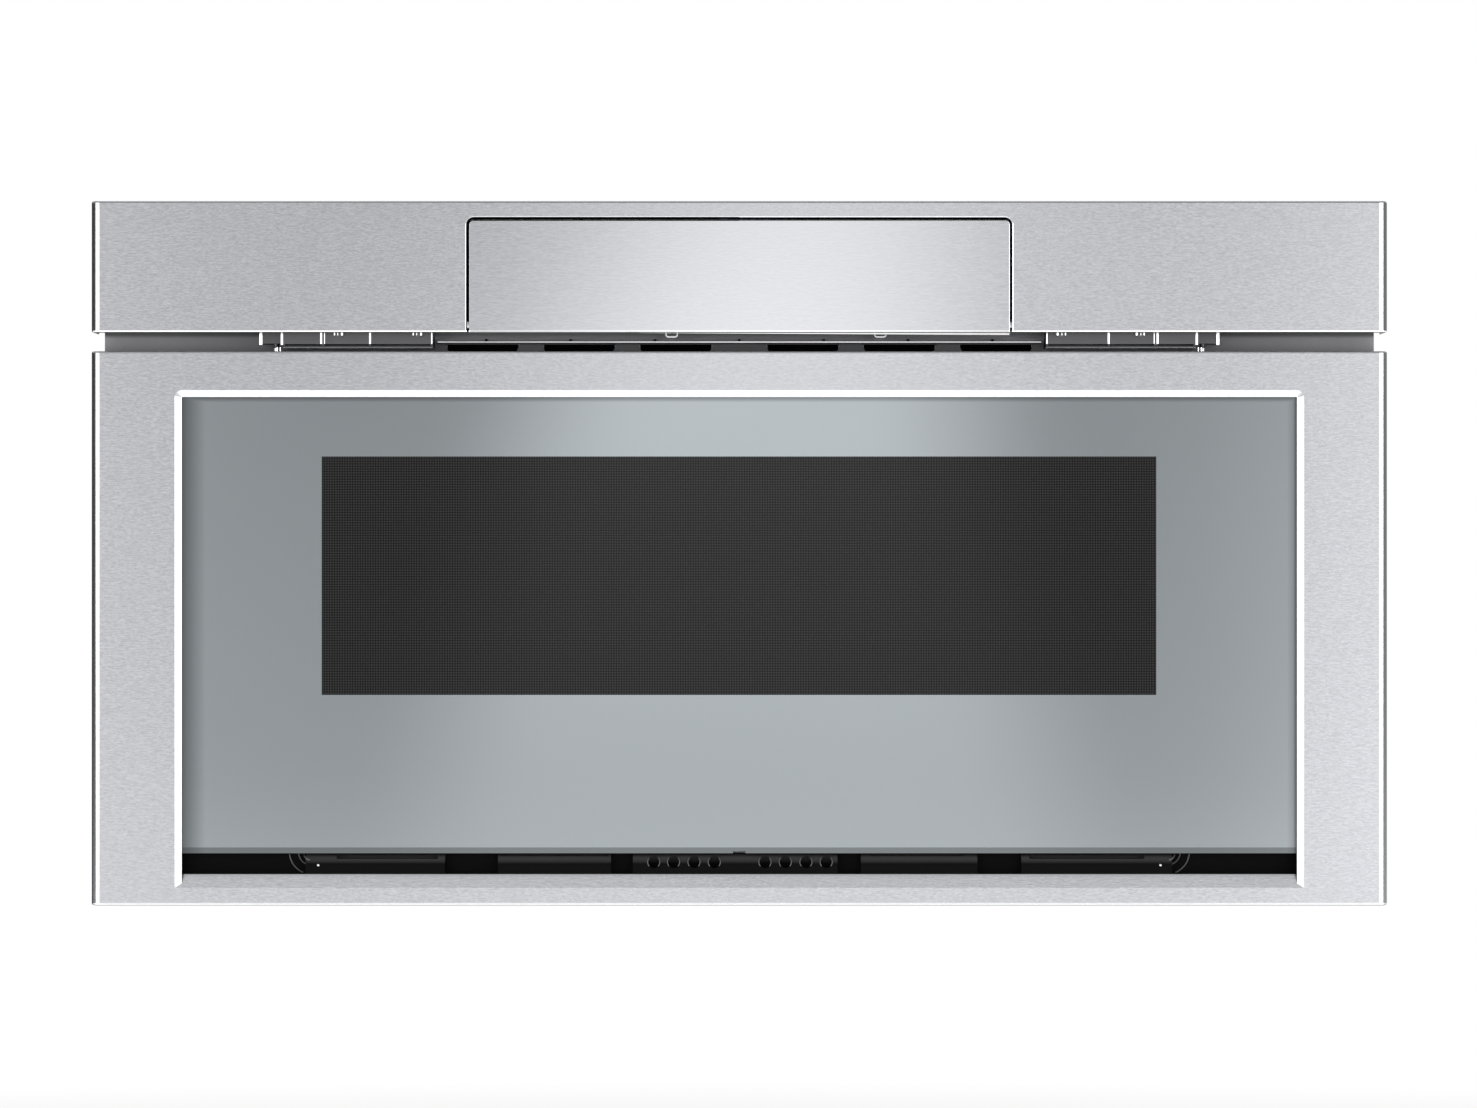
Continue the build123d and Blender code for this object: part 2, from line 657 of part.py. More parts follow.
def control_cassette():
    """Black frame behind the fascia that the control panel turns in."""
    back = -FLANGE_SHEET
    frame = block((-CASSETTE_OUT, CASSETTE_OUT), (FRONT + 2, back), (197.6, 199.4))
    for side in (-1, 1):
        cheek = sorted((side * CASSETTE_IN, side * CASSETTE_OUT))
        frame += block(cheek, (FRONT + 2, back), (131.0, 199.4))
        tab = sorted((side * CASSETTE_OUT, side * 172))
        frame += block(tab, (back - 2, back), (150, 190))
    return frame - rod("X", (0, HINGE_Y, HINGE_Z), HINGE_R + HINGE_SLACK, 400)


def catch_clips():
    """Two bright spring clips that the shut control panel snaps into."""
    clips = []
    for x in (-39.7, 82.7):
        loop = rectangle((x - 3.7, x + 3.7), (126.7, 129.8))
        loop = fillet(loop.vertices().group_by(Axis.Y)[0], 1.8)
        inside = rectangle((x - 2.9, x + 2.9), (127.5, 131))
        inside = fillet(inside.vertices().group_by(Axis.Y)[0], 1.0)
        clip = front_prism(loop - inside, -30, -22)
        clips.append(clip + block((x - 1.8, x + 1.8), (-22, -FLANGE_SHEET), (126.7, 127.5)))
    return Compound(clips)


# ---------------------------------------------------------------- drawer front
def drawer_frame():
    shell = front_shell(FOOT, DRAWER_TOP, SIDE_DEPTH, FRAME_DEPTH)
    rim = rectangle((-OPENING_HALF - 3, OPENING_HALF + 3), (OPENING_FOOT, OPENING_TOP + 3))
    shell += front_prism(rim, FRONT + SKIN, FRONT + BEVEL_DEPTH)
    half = OPENING_HALF - BEVEL
    hole = rectangle((-half, half), (OPENING_FOOT - 30, OPENING_TOP - BEVEL))
    hole = fillet(hole.vertices().group_by(Axis.Y)[-1], BEVEL_CORNER)
    keep = block((-HALF, HALF), (FRONT - 1, 0), (OPENING_FOOT, DRAWER_TOP))
    shell -= flared_hole(hole, BEVEL_DEPTH, BEVEL) & keep
    sill = [
        (FRONT, OPENING_FOOT),
        (FRONT + SILL_DEPTH, OPENING_FOOT + SILL_RISE),
        (FRONT + SILL_DEPTH, OPENING_FOOT + SILL_RISE - 2),
        (FRONT + SKIN, OPENING_FOOT - 2),
        (FRONT, OPENING_FOOT - 2),
    ]
    return shell + side_prism(sill, -OPENING_HALF - 3, OPENING_HALF + 3)


def drawer_glass():
    pane = rectangle((-GLASS_HALF, GLASS_HALF), (GLASS_FOOT, GLASS_TOP))
    pane = fillet(pane.vertices(), 2)
    pane -= rectangle((-3.7, 3.7), (GLASS_FOOT - 1, GLASS_FOOT + 1.2))
    return front_prism(pane, GLASS_FRONT, GLASS_FRONT + GLASS_THICK)


def window_screen():
    y = GLASS_FRONT + GLASS_THICK + 1
    sheet = rectangle((-WINDOW_HALF - 14, WINDOW_HALF + 14), (WINDOW_FOOT - 10, WINDOW_TOP + 10))
    return front_prism(sheet, y, y + 0.8)


def glass_carrier():
    y = GLASS_FRONT + GLASS_THICK
    ring = rectangle((-345, 345), (GLASS_FOOT + 1, FOOT + 312))
    ring -= rectangle((-260, 260), (WINDOW_FOOT - 12, WINDOW_TOP + 12))
    return front_prism(ring, y, PANEL_FRONT)


def air_grille():
    """Black bar under the glass, with rounded panels raised from it."""
    low, high = FOOT + 14, GLASS_FOOT - 0.3
    back = GRILLE_FRONT + GRILLE_RECESS
    bar = block((-GLASS_HALF, GLASS_HALF), (back, PANEL_FRONT), (low, high))
    for ends in GRILLE_PANELS:
        panel = block(ends, (GRILLE_FRONT, back), (low, high))
        brow = panel.edges().filter_by(Axis.X).group_by(Axis.Z)[-1].sort_by(Axis.Y)[0]
        bar += fillet(brow, GRILLE_ROUND)
    for ends in GRILLE_SCOOPS:
        bar -= block(ends, (GRILLE_FRONT - 1, back - 1), (high - 3.2, high - 1.2))
    for ends in GRILLE_SLITS:
        bar -= block(ends, (GRILLE_FRONT - 1, back - 1), (high - 1.6, high - 0.6))
    for x in GRILLE_HOLES:
        bar -= rod("Y", (x, GRILLE_FRONT, FOOT + 25.2), GRILLE_HOLE_R, 2 * GRILLE_RECESS - 2)
    return bar


def door_panel():
    """Inner steel panel with the two walls of the choke groove and the switch posts."""
    half = HALF - SKIN
    sheet = rectangle((-half, half), (FOOT + SKIN, DRAWER_TOP - SKIN))
    sheet -= slot_row(40, 16, 10, 5, (0, FOOT + 23))
    y0 = PANEL_FRONT + SKIN
    panel = front_prism(sheet, PANEL_FRONT, y0)
    ring = rectangle((-CHOKE_OUT, CHOKE_OUT), (CHOKE_FOOT, CHOKE_TOP))
    ring -= rectangle((-CHOKE_OUT + SKIN, CHOKE_OUT - SKIN), (CHOKE_FOOT + SKIN, CHOKE_TOP - SKIN))
    ring += rectangle((-CHOKE_IN, CHOKE_IN), (CHOKE_WALL_FOOT, CHOKE_WALL_TOP))
    inner = (CHOKE_WALL_FOOT + SKIN, CHOKE_WALL_TOP - SKIN)
    ring -= rectangle((-CHOKE_IN + SKIN, CHOKE_IN - SKIN), inner)
    panel += front_prism(ring, y0, CHOKE_BACK - 3)
    tip = -FLANGE_SHEET - PLUNGER_REACH - 0.3
    post = block((SWITCH_X - 6, SWITCH_X + 6), (y0, tip), (SWITCH_Z - 6, SWITCH_Z + 6))
    return panel + post + mirrored(post)


def choke_cover():
    ring = rectangle((-CHOKE_OUT, CHOKE_OUT), (CHOKE_FOOT, CHOKE_TOP))
    ring -= rectangle((-CHOKE_IN, CHOKE_IN), (CHOKE_WALL_FOOT, CHOKE_WALL_TOP))
    return front_prism(ring, CHOKE_BACK - 3, CHOKE_BACK)


def drawer_bracket():
    y0 = PANEL_FRONT + SKIN
    plate = block((RAIL_X - SKIN, RAIL_X), (y0, 446), (-147, -92))
    return plate + block((RAIL_X, RAIL_X + 14), (y0, y0 + 1.5), (-147, -92))


# ---------------------------------------------------------------- drawer tub
def tub_side():
    """Side wall with a rolled rim."""
    y0, y1 = PANEL_FRONT + SKIN, TUB_BACK - 8
    side = block((TUB_HALF - SKIN, TUB_HALF), (y0, TUB_BACK), (TUB_FLOOR, TUB_RIM))
    return side + rod("Y", (TUB_HALF - SKIN / 2, (y0 + y1) / 2, TUB_RIM), 2.2, y1 - y0)


def tub_base():
    """Floor folded up into the rear wall, with a hem along the top."""
    half = TUB_HALF - SKIN
    base = block((-half, half), (PANEL_FRONT + SKIN, TUB_BACK), (TUB_FLOOR, TUB_FLOOR + SKIN))
    base += block((-half, half), (TUB_BACK - SKIN, TUB_BACK), (TUB_FLOOR, TUB_RIM + 20))
    return base + block((-half, half), (TUB_BACK - 6, TUB_BACK), (TUB_RIM + 18.5, TUB_RIM + 20))


def floor_plate():
    low = TUB_FLOOR + SKIN
    plate = block((-219, 219), (-19, 409), (low, low + PLATE_THICK))
    return fillet(plate.edges().filter_by(Axis.Z), 8)


# ---------------------------------------------------------------- slides and drive
def channel(z_half, u_web, u_edge, lip):
    """A C-section slide on the right, open towards one side; u runs outboard from RAIL_X."""
    t = RAIL_SHEET
    web = sorted((u_web, u_web + (t if u_web > u_edge else -t) * -1))
    section = rectangle((RAIL_X + web[0], RAIL_X + web[1]), (RAIL_Z - z_half, RAIL_Z + z_half))
    span = sorted((u_web, u_edge))
    for side in (-1, 1):
        edge = sorted((RAIL_Z + side * z_half, RAIL_Z + side * (z_half - t)))
        section += rectangle((RAIL_X + span[0], RAIL_X + span[1]), edge)
        if lip:
            edge = sorted((RAIL_Z + side * z_half, RAIL_Z + side * (z_half - lip)))
            ends = sorted((u_edge, u_edge + (t if u_edge < u_web else -t)))
            section += rectangle((RAIL_X + ends[0], RAIL_X + ends[1]), edge)
    return front_prism(section, RAIL_START, RAIL_START + RAIL_LENGTH)


def rail_outer():
    return channel(22.5, 13.0, 3.0, 3.0)


def rail_mid():
    return channel(19.2, 10.5, 2.0, 0)


def rail_inner():
    return channel(16.5, 0.0, 8.0, 0)


def rail_supports():
    """Angles that carry the outer slides from the front plate and the base pan."""
    post = block((RAIL_X + 13, RAIL_X + 15), (0, 440), (CASE_FOOT + SHEET, RAIL_Z + 20))
    post += block((RAIL_X + 13, RAIL_X + 30), (0, 440), (CASE_FOOT + SHEET, CASE_FOOT + SHEET + 2))
    post += block((RAIL_X + 13, RAIL_X + 30), (0, 2), (CASE_FOOT + SHEET, RAIL_Z + 20))
    for y in (90, 200, 310):
        post -= block((RAIL_X + 10, RAIL_X + 20), (y - 30, y + 30), (-180, -145))
    return both(post)


def rack():
    """A toothed bar under the drawer bracket, teeth down, with a gap over the pinion."""
    pitch = math.pi * MODULE
    tip = RACK_PITCH_Z - ADDENDUM * MODULE
    root = RACK_PITCH_Z + DEDENDUM * MODULE
    slope = math.tan(PRESSURE_ANGLE)
    half = pitch / 4 - BACKLASH / 2
    teeth = math.ceil(TRAVEL / pitch) + 7
    start = SHAFT_Y - 4.5 * pitch
    points = [(start - pitch / 2, root)]
    for n in range(teeth):
        y = start + n * pitch
        at_root = half + (root - RACK_PITCH_Z) * slope
        at_tip = half - (RACK_PITCH_Z - tip) * slope
        points += [(y - at_root, root), (y - at_tip, tip), (y + at_tip, tip), (y + at_root, root)]
    end = start + (teeth - 0.5) * pitch
    points += [(end, root), (end, -147), (start - pitch / 2, -147)]
    bar = side_prism(points, *RACK_X)
    tabs = [(start + 10 + 130 * i) for i in range(4)]
    for y in tabs:
        bar += block((RACK_X[0] + 4, RACK_X[1]), (y - 6, y + 6), (-147, -138))
    return bar


def pinions():
    gear = involute_gear(MODULE, PINION_TEETH, 8, RACK_X[0] - 1, (SHAFT_Y, SHAFT_Z), 90, SHAFT_R)
    return both(gear)


def drive_gear():
    wide = GEAR_X[1] - GEAR_X[0]
    gear = involute_gear(GEAR_MODULE, GEAR_TEETH, wide, GEAR_X[0], (SHAFT_Y, SHAFT_Z), 0, SHAFT_R)
    for n in range(6):
        turn = math.radians(60 * n + 30)
        y, z = SHAFT_Y + 15 * math.cos(turn), SHAFT_Z + 15 * math.sin(turn)
        gear -= rod("X", (GEAR_X[0], y, z), 4.5, 40)
    return gear


def drive_shaft():
    return rod("X", (0, SHAFT_Y, SHAFT_Z), SHAFT_R, 2 * 297.0)


def shaft_bearings():
    low = CASE_FOOT + SHEET
    bearing = block((289.5, 298), (SHAFT_Y - 12, SHAFT_Y + 12), (low, SHAFT_Z + 10))
    return both(bearing - rod("X", (294, SHAFT_Y, SHAFT_Z), SHAFT_R + HINGE_SLACK, 20))


def motor_pinion():
    phase = 180 + 180 / MOTOR_TEETH
    gear = involute_gear(GEAR_MODULE, MOTOR_TEETH, 9, GEAR_X[0] - 1, (MOTOR_Y, SHAFT_Z), phase, 2.5)
    return gear + rod("X", (133, MOTOR_Y, SHAFT_Z), 2.5, 32)


def drive_motor():
    low = CASE_FOOT + SHEET
    can = block((128.5, 150), (MOTOR_Y - 18, MOTOR_Y + 24), (SHAFT_Z - 20, SHAFT_Z + 22))
    can += rod("X", (177, MOTOR_Y, SHAFT_Z), 19, 54)
    can += block((128.5, 210), (MOTOR_Y - 18, MOTOR_Y + 24), (low, low + 2.5))
    can += block((190, 194), (MOTOR_Y - 15, MOTOR_Y + 15), (low, SHAFT_Z))
    can += block((128.5, 150), (MOTOR_Y - 18, MOTOR_Y + 24), (low, SHAFT_Z - 19))
    return can - rod("X", (139, MOTOR_Y, SHAFT_Z), 2.5 + HINGE_SLACK, 22)


def switch_body():
    body = block((SWITCH_X - 9, SWITCH_X + 9), (2, 30), (SWITCH_Z - 14, SWITCH_Z + 14))
    body += block((SWITCH_X - 14, SWITCH_X + 14), (0, 2), (SWITCH_Z - 18, SWITCH_Z + 18))
    for z in (-8, 0, 8):
        body += block((SWITCH_X - 3, SWITCH_X + 3), (30, 38), (SWITCH_Z + z - 0.4, SWITCH_Z + z + 0.4))
    return body - rod("Y", (SWITCH_X, 8, SWITCH_Z), PLUNGER_R + PLUNGER_SLACK, 30)


def plunger():
    low = -FLANGE_SHEET - PLUNGER_REACH
    stem = rod("Y", (SWITCH_X, (low + 16) / 2, SWITCH_Z), PLUNGER_R, 16 - low)
    return fillet(stem.edges().sort_by(Axis.Y)[0], 1.2)


# ---------------------------------------------------------------- write every node
nodes = {
    "front_plate": front_plate(),
    "base_pan": base_pan(),
    "side_panels": both(side_panel()),
    "back_panel": back_panel(),
    "top_cover": top_cover(),
    "cord_bushing": cord_bushing(),
    "screws": screws(),
    "cavity_floor": cavity_floor(),
    "cavity_sides": both(cavity_side()),
    "cavity_ceiling": cavity_ceiling(),
    "cavity_back": cavity_back(),
    "cavity_lamp": cavity_lamp(),
    "stirrer_cover": stirrer_cover(),
    "stirrer": stirrer(),
    "stirrer_motor": stirrer_motor(),
    "waveguide": waveguide(),
    "magnetron": magnetron(),
    "transformer_core": transformer_core(),
    "transformer_windings": transformer_windings(),
    "capacitor": capacitor(),
    "fan_motor": fan_motor(),
    "fan_blade": fan_blade(),
    "fan_shroud": fan_shroud(),
    "power_board": power_board(),
    "vent_guide": vent_guide(),
    "fascia": fascia(),
    "fascia_brackets": both(fascia_bracket()),
    "control_cassette": control_cassette(),
    "catch_clips": catch_clips(),
    "control_door": control_door(),
    "control_housing": control_housing(),
    "touch_glass": touch_glass(),
    "control_board": control_board(),
    "hinge_pins": hinge_pins(),
    "drawer_frame": drawer_frame(),
    "drawer_glass": drawer_glass(),
    "window_screen": window_screen(),
    "glass_carrier": glass_carrier(),
    "air_grille": air_grille(),
    "door_panel": door_panel(),
    "choke_cover": choke_cover(),
    "drawer_brackets": both(drawer_bracket()),
    "tub_sides": both(tub_side()),
    "tub_base": tub_base(),
    "floor_plate": floor_plate(),
    "rails_outer": both(rail_outer()),
    "rail_mid_right": rail_mid(),
    "rail_mid_left": mirrored(rail_mid()),
    "rails_inner": both(rail_inner()),
    "rail_supports": rail_supports(),
    "drive_racks": both(rack()),
    "drive_pinions": pinions(),
    "drive_gear": drive_gear(),
    "drive_shaft": drive_shaft(),
    "shaft_bearings": shaft_bearings(),
    "motor_pinion": motor_pinion(),
    "drive_motor": drive_motor(),
    "switch_bodies": both(switch_body()),
    "plunger_right": plunger(),
    "plunger_left": mirrored(plunger()),
}

for name, shape in nodes.items():
    export_step(shape, f"parts/{name}.step")
print(len(nodes), "nodes")
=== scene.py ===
# %% [markdown]
# # A built-in microwave drawer
# The packed model holds every folded sheet, slide and gear at its real size. This lesson
# dresses it: it gives each piece the finish that the real one has, adds the small trim
# that only shows close up, and lights it as a studio would.

# %% Load the model
import json
import math

import bmesh
import bpy
from mathutils import Matrix, Vector


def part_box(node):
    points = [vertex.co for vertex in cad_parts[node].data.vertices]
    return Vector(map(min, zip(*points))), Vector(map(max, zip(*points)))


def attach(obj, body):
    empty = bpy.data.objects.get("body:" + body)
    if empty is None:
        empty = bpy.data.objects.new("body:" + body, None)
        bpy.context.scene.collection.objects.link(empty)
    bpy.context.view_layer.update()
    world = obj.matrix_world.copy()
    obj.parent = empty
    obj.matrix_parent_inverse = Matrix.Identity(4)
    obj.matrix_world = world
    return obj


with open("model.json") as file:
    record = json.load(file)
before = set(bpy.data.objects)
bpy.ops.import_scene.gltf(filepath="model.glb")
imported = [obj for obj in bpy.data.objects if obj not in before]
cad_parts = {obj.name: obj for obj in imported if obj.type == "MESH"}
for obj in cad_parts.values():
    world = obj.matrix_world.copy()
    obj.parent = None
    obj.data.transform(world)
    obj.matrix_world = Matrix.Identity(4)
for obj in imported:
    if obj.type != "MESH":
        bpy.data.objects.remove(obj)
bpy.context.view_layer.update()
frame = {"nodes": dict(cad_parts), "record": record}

nodes = frame["nodes"]

# %% [markdown]
# ## Where things are
# The big places below come from the model's own boxes, so the finishes and the trim
# follow it. Blender works in metres, and MM is one millimetre. Patterns and trim are
# small, so their places, and every name that ends in _MM, are in millimetres.

# %% Reference sizes
MM = 0.001
fascia_low, fascia_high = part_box("fascia")
frame_low, frame_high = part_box("drawer_frame")
glass_low, glass_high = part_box("drawer_glass")
grille_low, grille_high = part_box("air_grille")
door_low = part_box("control_door")[0]
guide_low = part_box("vent_guide")[0]
FRONT = frame_low.y
FOOT = frame_low.z
TOP = fascia_high.z
FRONT_MM, FOOT_MM, TOP_MM = FRONT / MM, FOOT / MM, TOP / MM
FASCIA_FOOT_MM = fascia_low.z / MM
FRAME_TOP_MM = frame_high.z / MM
print("front face at", round(FRONT, 4), "foot", round(FOOT, 4), "top", round(TOP, 4))

# %% [markdown]
# ## The camera comes first
# The photograph is a straight-on product view with almost no perspective, so the camera
# stands four metres away with a long lens. The lens is worked out from how much of the
# picture's width the front fills.

# %% Camera
PHOTO_W, PHOTO_H = 1477, 1108
PHOTO_LEFT, PHOTO_RIGHT = 91.0, 1387.7  # edges of the fascia in the photograph
PHOTO_TOP = 201.0
CAMERA_DISTANCE = 4.0
SENSOR = 36.0

width = fascia_high.x - fascia_low.x
metres_per_pixel = width / (PHOTO_RIGHT - PHOTO_LEFT)
view_width = PHOTO_W * metres_per_pixel
camera_data = bpy.data.cameras.new("camera")
camera_data.sensor_width = SENSOR
camera_data.lens = SENSOR * CAMERA_DISTANCE / view_width
camera_data.clip_end = 100
camera = bpy.data.objects.new("camera", camera_data)
bpy.context.scene.collection.objects.link(camera)
aim_x = (PHOTO_W / 2 - (PHOTO_LEFT + PHOTO_RIGHT) / 2) * metres_per_pixel
aim_z = TOP - (PHOTO_H / 2 - PHOTO_TOP) * metres_per_pixel
camera.location = (aim_x, FRONT - CAMERA_DISTANCE, aim_z)
camera.rotation_euler = (math.pi / 2, 0, 0)
bpy.context.scene.camera = camera
print("lens", round(camera_data.lens, 1), "mm, aim height", round(aim_z, 4))


def photo_x(pixel):
    """The place along X of a column of the photograph, on the front face, in millimetres."""
    return (aim_x + (pixel - PHOTO_W / 2) * metres_per_pixel) / MM


def photo_z(pixel):
    """The height of a row of the photograph, on the front face, in millimetres."""
    return (aim_z - (pixel - PHOTO_H / 2) * metres_per_pixel) / MM


# %% [markdown]
# ## Shader maths as Python
# A pattern on a surface is a formula, but as nodes it is a tangle of boxes and lines. A
# Wire is one output of a node. Adding or multiplying wires adds Math nodes, so the
# pattern reads like the formula that it is. The reflected forms make 1 - mask work.


# %% Wire
class Wire:
    """One value in a material, which takes part in ordinary arithmetic."""

    def __init__(self, finish, socket):
        self.finish = finish
        self.socket = socket

    def maths(self, operation, *values):
        return self.finish.add("ShaderNodeMath", {"operation": operation}, values)

    def __add__(self, other):
        return self.maths("ADD", self, other)

    def __radd__(self, other):
        return self.maths("ADD", other, self)

    def __sub__(self, other):
        return self.maths("SUBTRACT", self, other)

    def __rsub__(self, other):
        return self.maths("SUBTRACT", other, self)

    def __mul__(self, other):
        return self.maths("MULTIPLY", self, other)

    def __rmul__(self, other):
        return self.maths("MULTIPLY", other, self)

    def __truediv__(self, other):
        return self.maths("DIVIDE", self, other)

    def __gt__(self, other):
        return self.maths("GREATER_THAN", self, other)

    def __lt__(self, other):
        return self.maths("LESS_THAN", self, other)

    def __mod__(self, other):
        return self.maths("FLOORED_MODULO", self, other)

    def __abs__(self):
        return self.maths("ABSOLUTE", self)

    def most(self, other):
        return self.maths("MAXIMUM", self, other)

    def least(self, other):
        return self.maths("MINIMUM", self, other)

    def clamped(self):
        return self.most(0.0).least(1.0)

    def ramp(self, low, high):
        """0 up to low and 1 from high on, in a straight line between them."""
        return ((self - low) / (high - low)).clamped()

    def within(self, low, high):
        """1 between low and high, and 0 outside them."""
        return (self > low) * (self < high)


print("a wire does", ", ".join(name for name in vars(Wire) if name[0] != "_"))

# %% [markdown]
# ## A material under construction
# Every finish starts as a Principled shader. One method adds any node that isn't
# arithmetic: it takes the node's type, its settings and its inputs, so a finish is a few
# lines. Places are read in the object's own frame, so a pattern stays where it is on its
# piece when the drawer slides out.


# %% Finish
class Finish:
    """A material on a Principled shader, built node by node."""

    def __init__(self, name, **shader_values):
        self.material = bpy.data.materials.new(name)
        self.material.use_nodes = True
        self.tree = self.material.node_tree
        self.shader = self.tree.nodes["Principled BSDF"]
        self.set(**shader_values)

    def set(self, **values):
        """Set or link shader sockets by name, with _ for a space."""
        for name, value in values.items():
            socket = self.shader.inputs[name.replace("_", " ")]
            if isinstance(value, Wire):
                self.tree.links.new(value.socket, socket)
            else:
                socket.default_value = value

    def add(self, kind, settings=None, inputs=(), output=0):
        """Add a node: its settings first, then a value or link for each socket."""
        node = self.tree.nodes.new(kind)
        for name, value in (settings or {}).items():
            if name == "stops":
                stops = node.color_ramp.elements
                while len(stops) < len(value):
                    stops.new(0.5)
                for stop, (place, colour) in zip(stops, value):
                    stop.position = place
                    stop.color = colour
            else:
                setattr(node, name, value)
        pairs = inputs.items() if isinstance(inputs, dict) else enumerate(inputs)
        for where, value in pairs:
            if isinstance(value, Wire):
                self.tree.links.new(value.socket, node.inputs[where])
            else:
                node.inputs[where].default_value = value
        return Wire(self, node.outputs[output])

    def place(self):
        """X, Y and Z of the surface point in the object's own frame, in metres."""
        spot = self.add("ShaderNodeTexCoord", output="Object")
        split = self.add("ShaderNodeSeparateXYZ", {}, [spot]).socket.node
        return [Wire(self, split.outputs[i]) for i in range(3)]

    def axes(self):
        """The same in millimetres."""
        return [axis * (1 / MM) for axis in self.place()]

    def noise(self, x, y, z, detail=2.0, roughness=0.5):
        """Noise from 0 to 1 over the given coordinates."""
        where = self.add("ShaderNodeCombineXYZ", {}, [x, y, z])
        inputs = {"Vector": where, "Scale": 1.0, "Detail": detail, "Roughness": roughness}
        return self.add("ShaderNodeTexNoise", {"noise_dimensions": "3D"}, inputs)

    def cloud(self, scale, detail=2.0):
        """Noise that is as coarse in every direction: scale is in waves per millimetre."""
        x, y, z = self.axes()
        return self.noise(x * scale, y * scale, z * scale, detail)

    def blend(self, factor, first, second):
        """Mix two colours by a factor."""
        settings = {"data_type": "RGBA"}
        inputs = {0: factor, 6: first, 7: second}
        return self.add("ShaderNodeMix", settings, inputs, output=2)

    def between(self, factor, low, high):
        """A number that runs from low to high as factor runs from 0 to 1."""
        return factor * (high - low) + low

    def bump(self, height, strength, distance=0.1 * MM):
        inputs = {"Strength": strength, "Distance": distance, "Height": height}
        return self.add("ShaderNodeBump", {}, inputs)

    def glow(self, colour, strength=1.0):
        return self.add("ShaderNodeEmission", {}, {"Color": colour, "Strength": strength})

    def mix(self, factor, first, second):
        """Mix two shaders by a factor."""
        return self.add("ShaderNodeMixShader", {}, [factor, first, second])

    def surface(self, shader):
        """Show this shader in place of the Principled one."""
        out = self.tree.nodes["Material Output"]
        self.tree.links.new(shader.socket, out.inputs["Surface"])


def grey(value):
    return (value, value, value, 1.0)


def scaled(tone, share):
    """A colour made darker or lighter, with its alpha."""
    return [channel * share for channel in tone[:3]] + [1.0]


print("a finish does", ", ".join(name for name in vars(Finish) if name[0] != "_"))

# %% [markdown]
# ## Brushed stainless steel
# The fronts are stainless sheet, brushed along the width. Brushing leaves scratches half
# a millimetre high and a few millimetres long. Noise that is stretched along X and
# squeezed along Z gives them, and it drives the colour, the roughness and a very small
# bump together, as real scratches do. The folds are too narrow to mirror much of the
# studio, so their thin dark and bright lines are painted into the colour: painted shade
# along the top, the foot, under the fascia and over the drawer, painted highlights on the
# folds at the foot, and painted shade in the joint round the control door and on the left ends.


# %% Stainless steel
TOP_RIM, TOP_RIM_DEPTH = 0.9, 2.5  # height and depth of the painted shade along the top
FOOT_RIM = 0.6  # height of the one along the foot
# painted shade under the fascia's foot and over the drawer's top fold
LIP_SHADE = (FASCIA_FOOT_MM - 0.1, FASCIA_FOOT_MM + 0.35)
BROW_SHADE = (FRAME_TOP_MM - 1.5, FRAME_TOP_MM)
JOINT_HALF, JOINT_TOP = 162.0, 199.0  # the painted shade in the joint round the control door lies in these
JOINT_STEP = 0.1  # how much deeper it starts on the right, where the door stands closer
SHADED_END_WIDTH, SHADED_END_DEPTH = 1.0, 4.8  # the painted dark reflection on the rounded left ends
# the share of the tone that each of them loses
RIM_LOSS, LIP_LOSS, BROW_LOSS, JOINT_SHADE_LOSS, SHADED_END_LOSS = 0.62, 0.8, 0.6, 0.97, 0.9
# painted highlights on the folds at the foot of the fascia and of the drawer front
FASCIA_FOLD_HIGHLIGHT = (FASCIA_FOOT_MM + 0.4, FASCIA_FOOT_MM + 1.3)
DRAWER_FOLD_HIGHLIGHT = (FOOT_MM + FOOT_RIM, FOOT_MM + FOOT_RIM + 1.1)
PAINTED_FOLD_HIGHLIGHT = grey(0.98)
FINE_WAVES, COARSE_WAVES = 2.1, 1.7  # scratches per millimetre of height
COARSE_LENGTH = 3.5  # how much longer the coarse scratches are


def painted_edge_shade(x, y, z, joint_depth):
    """How much of the steel's tone is left under the painted shade near folded edges and in the
    door's joint.
    """
    # painted shade along the top and the foot, under the fascia and over the drawer
    rims = (z > TOP_MM - TOP_RIM) * (y < FRONT_MM + TOP_RIM_DEPTH) + (z < FOOT_MM + FOOT_RIM)
    lip = z.within(*LIP_SHADE)
    brow = z.ramp(*BROW_SHADE) * (z < FRAME_TOP_MM + 0.1)
    # painted shade on the walls inside the gap round the control door
    behind = y > FRONT_MM + joint_depth + (x > 0) * JOINT_STEP
    joint = behind * (abs(x) < JOINT_HALF) * z.within(FASCIA_FOOT_MM + 1, JOINT_TOP)
    left = 1.0 - rims * RIM_LOSS - lip * LIP_LOSS - brow * BROW_LOSS
    return left * (1.0 - joint * JOINT_SHADE_LOSS)


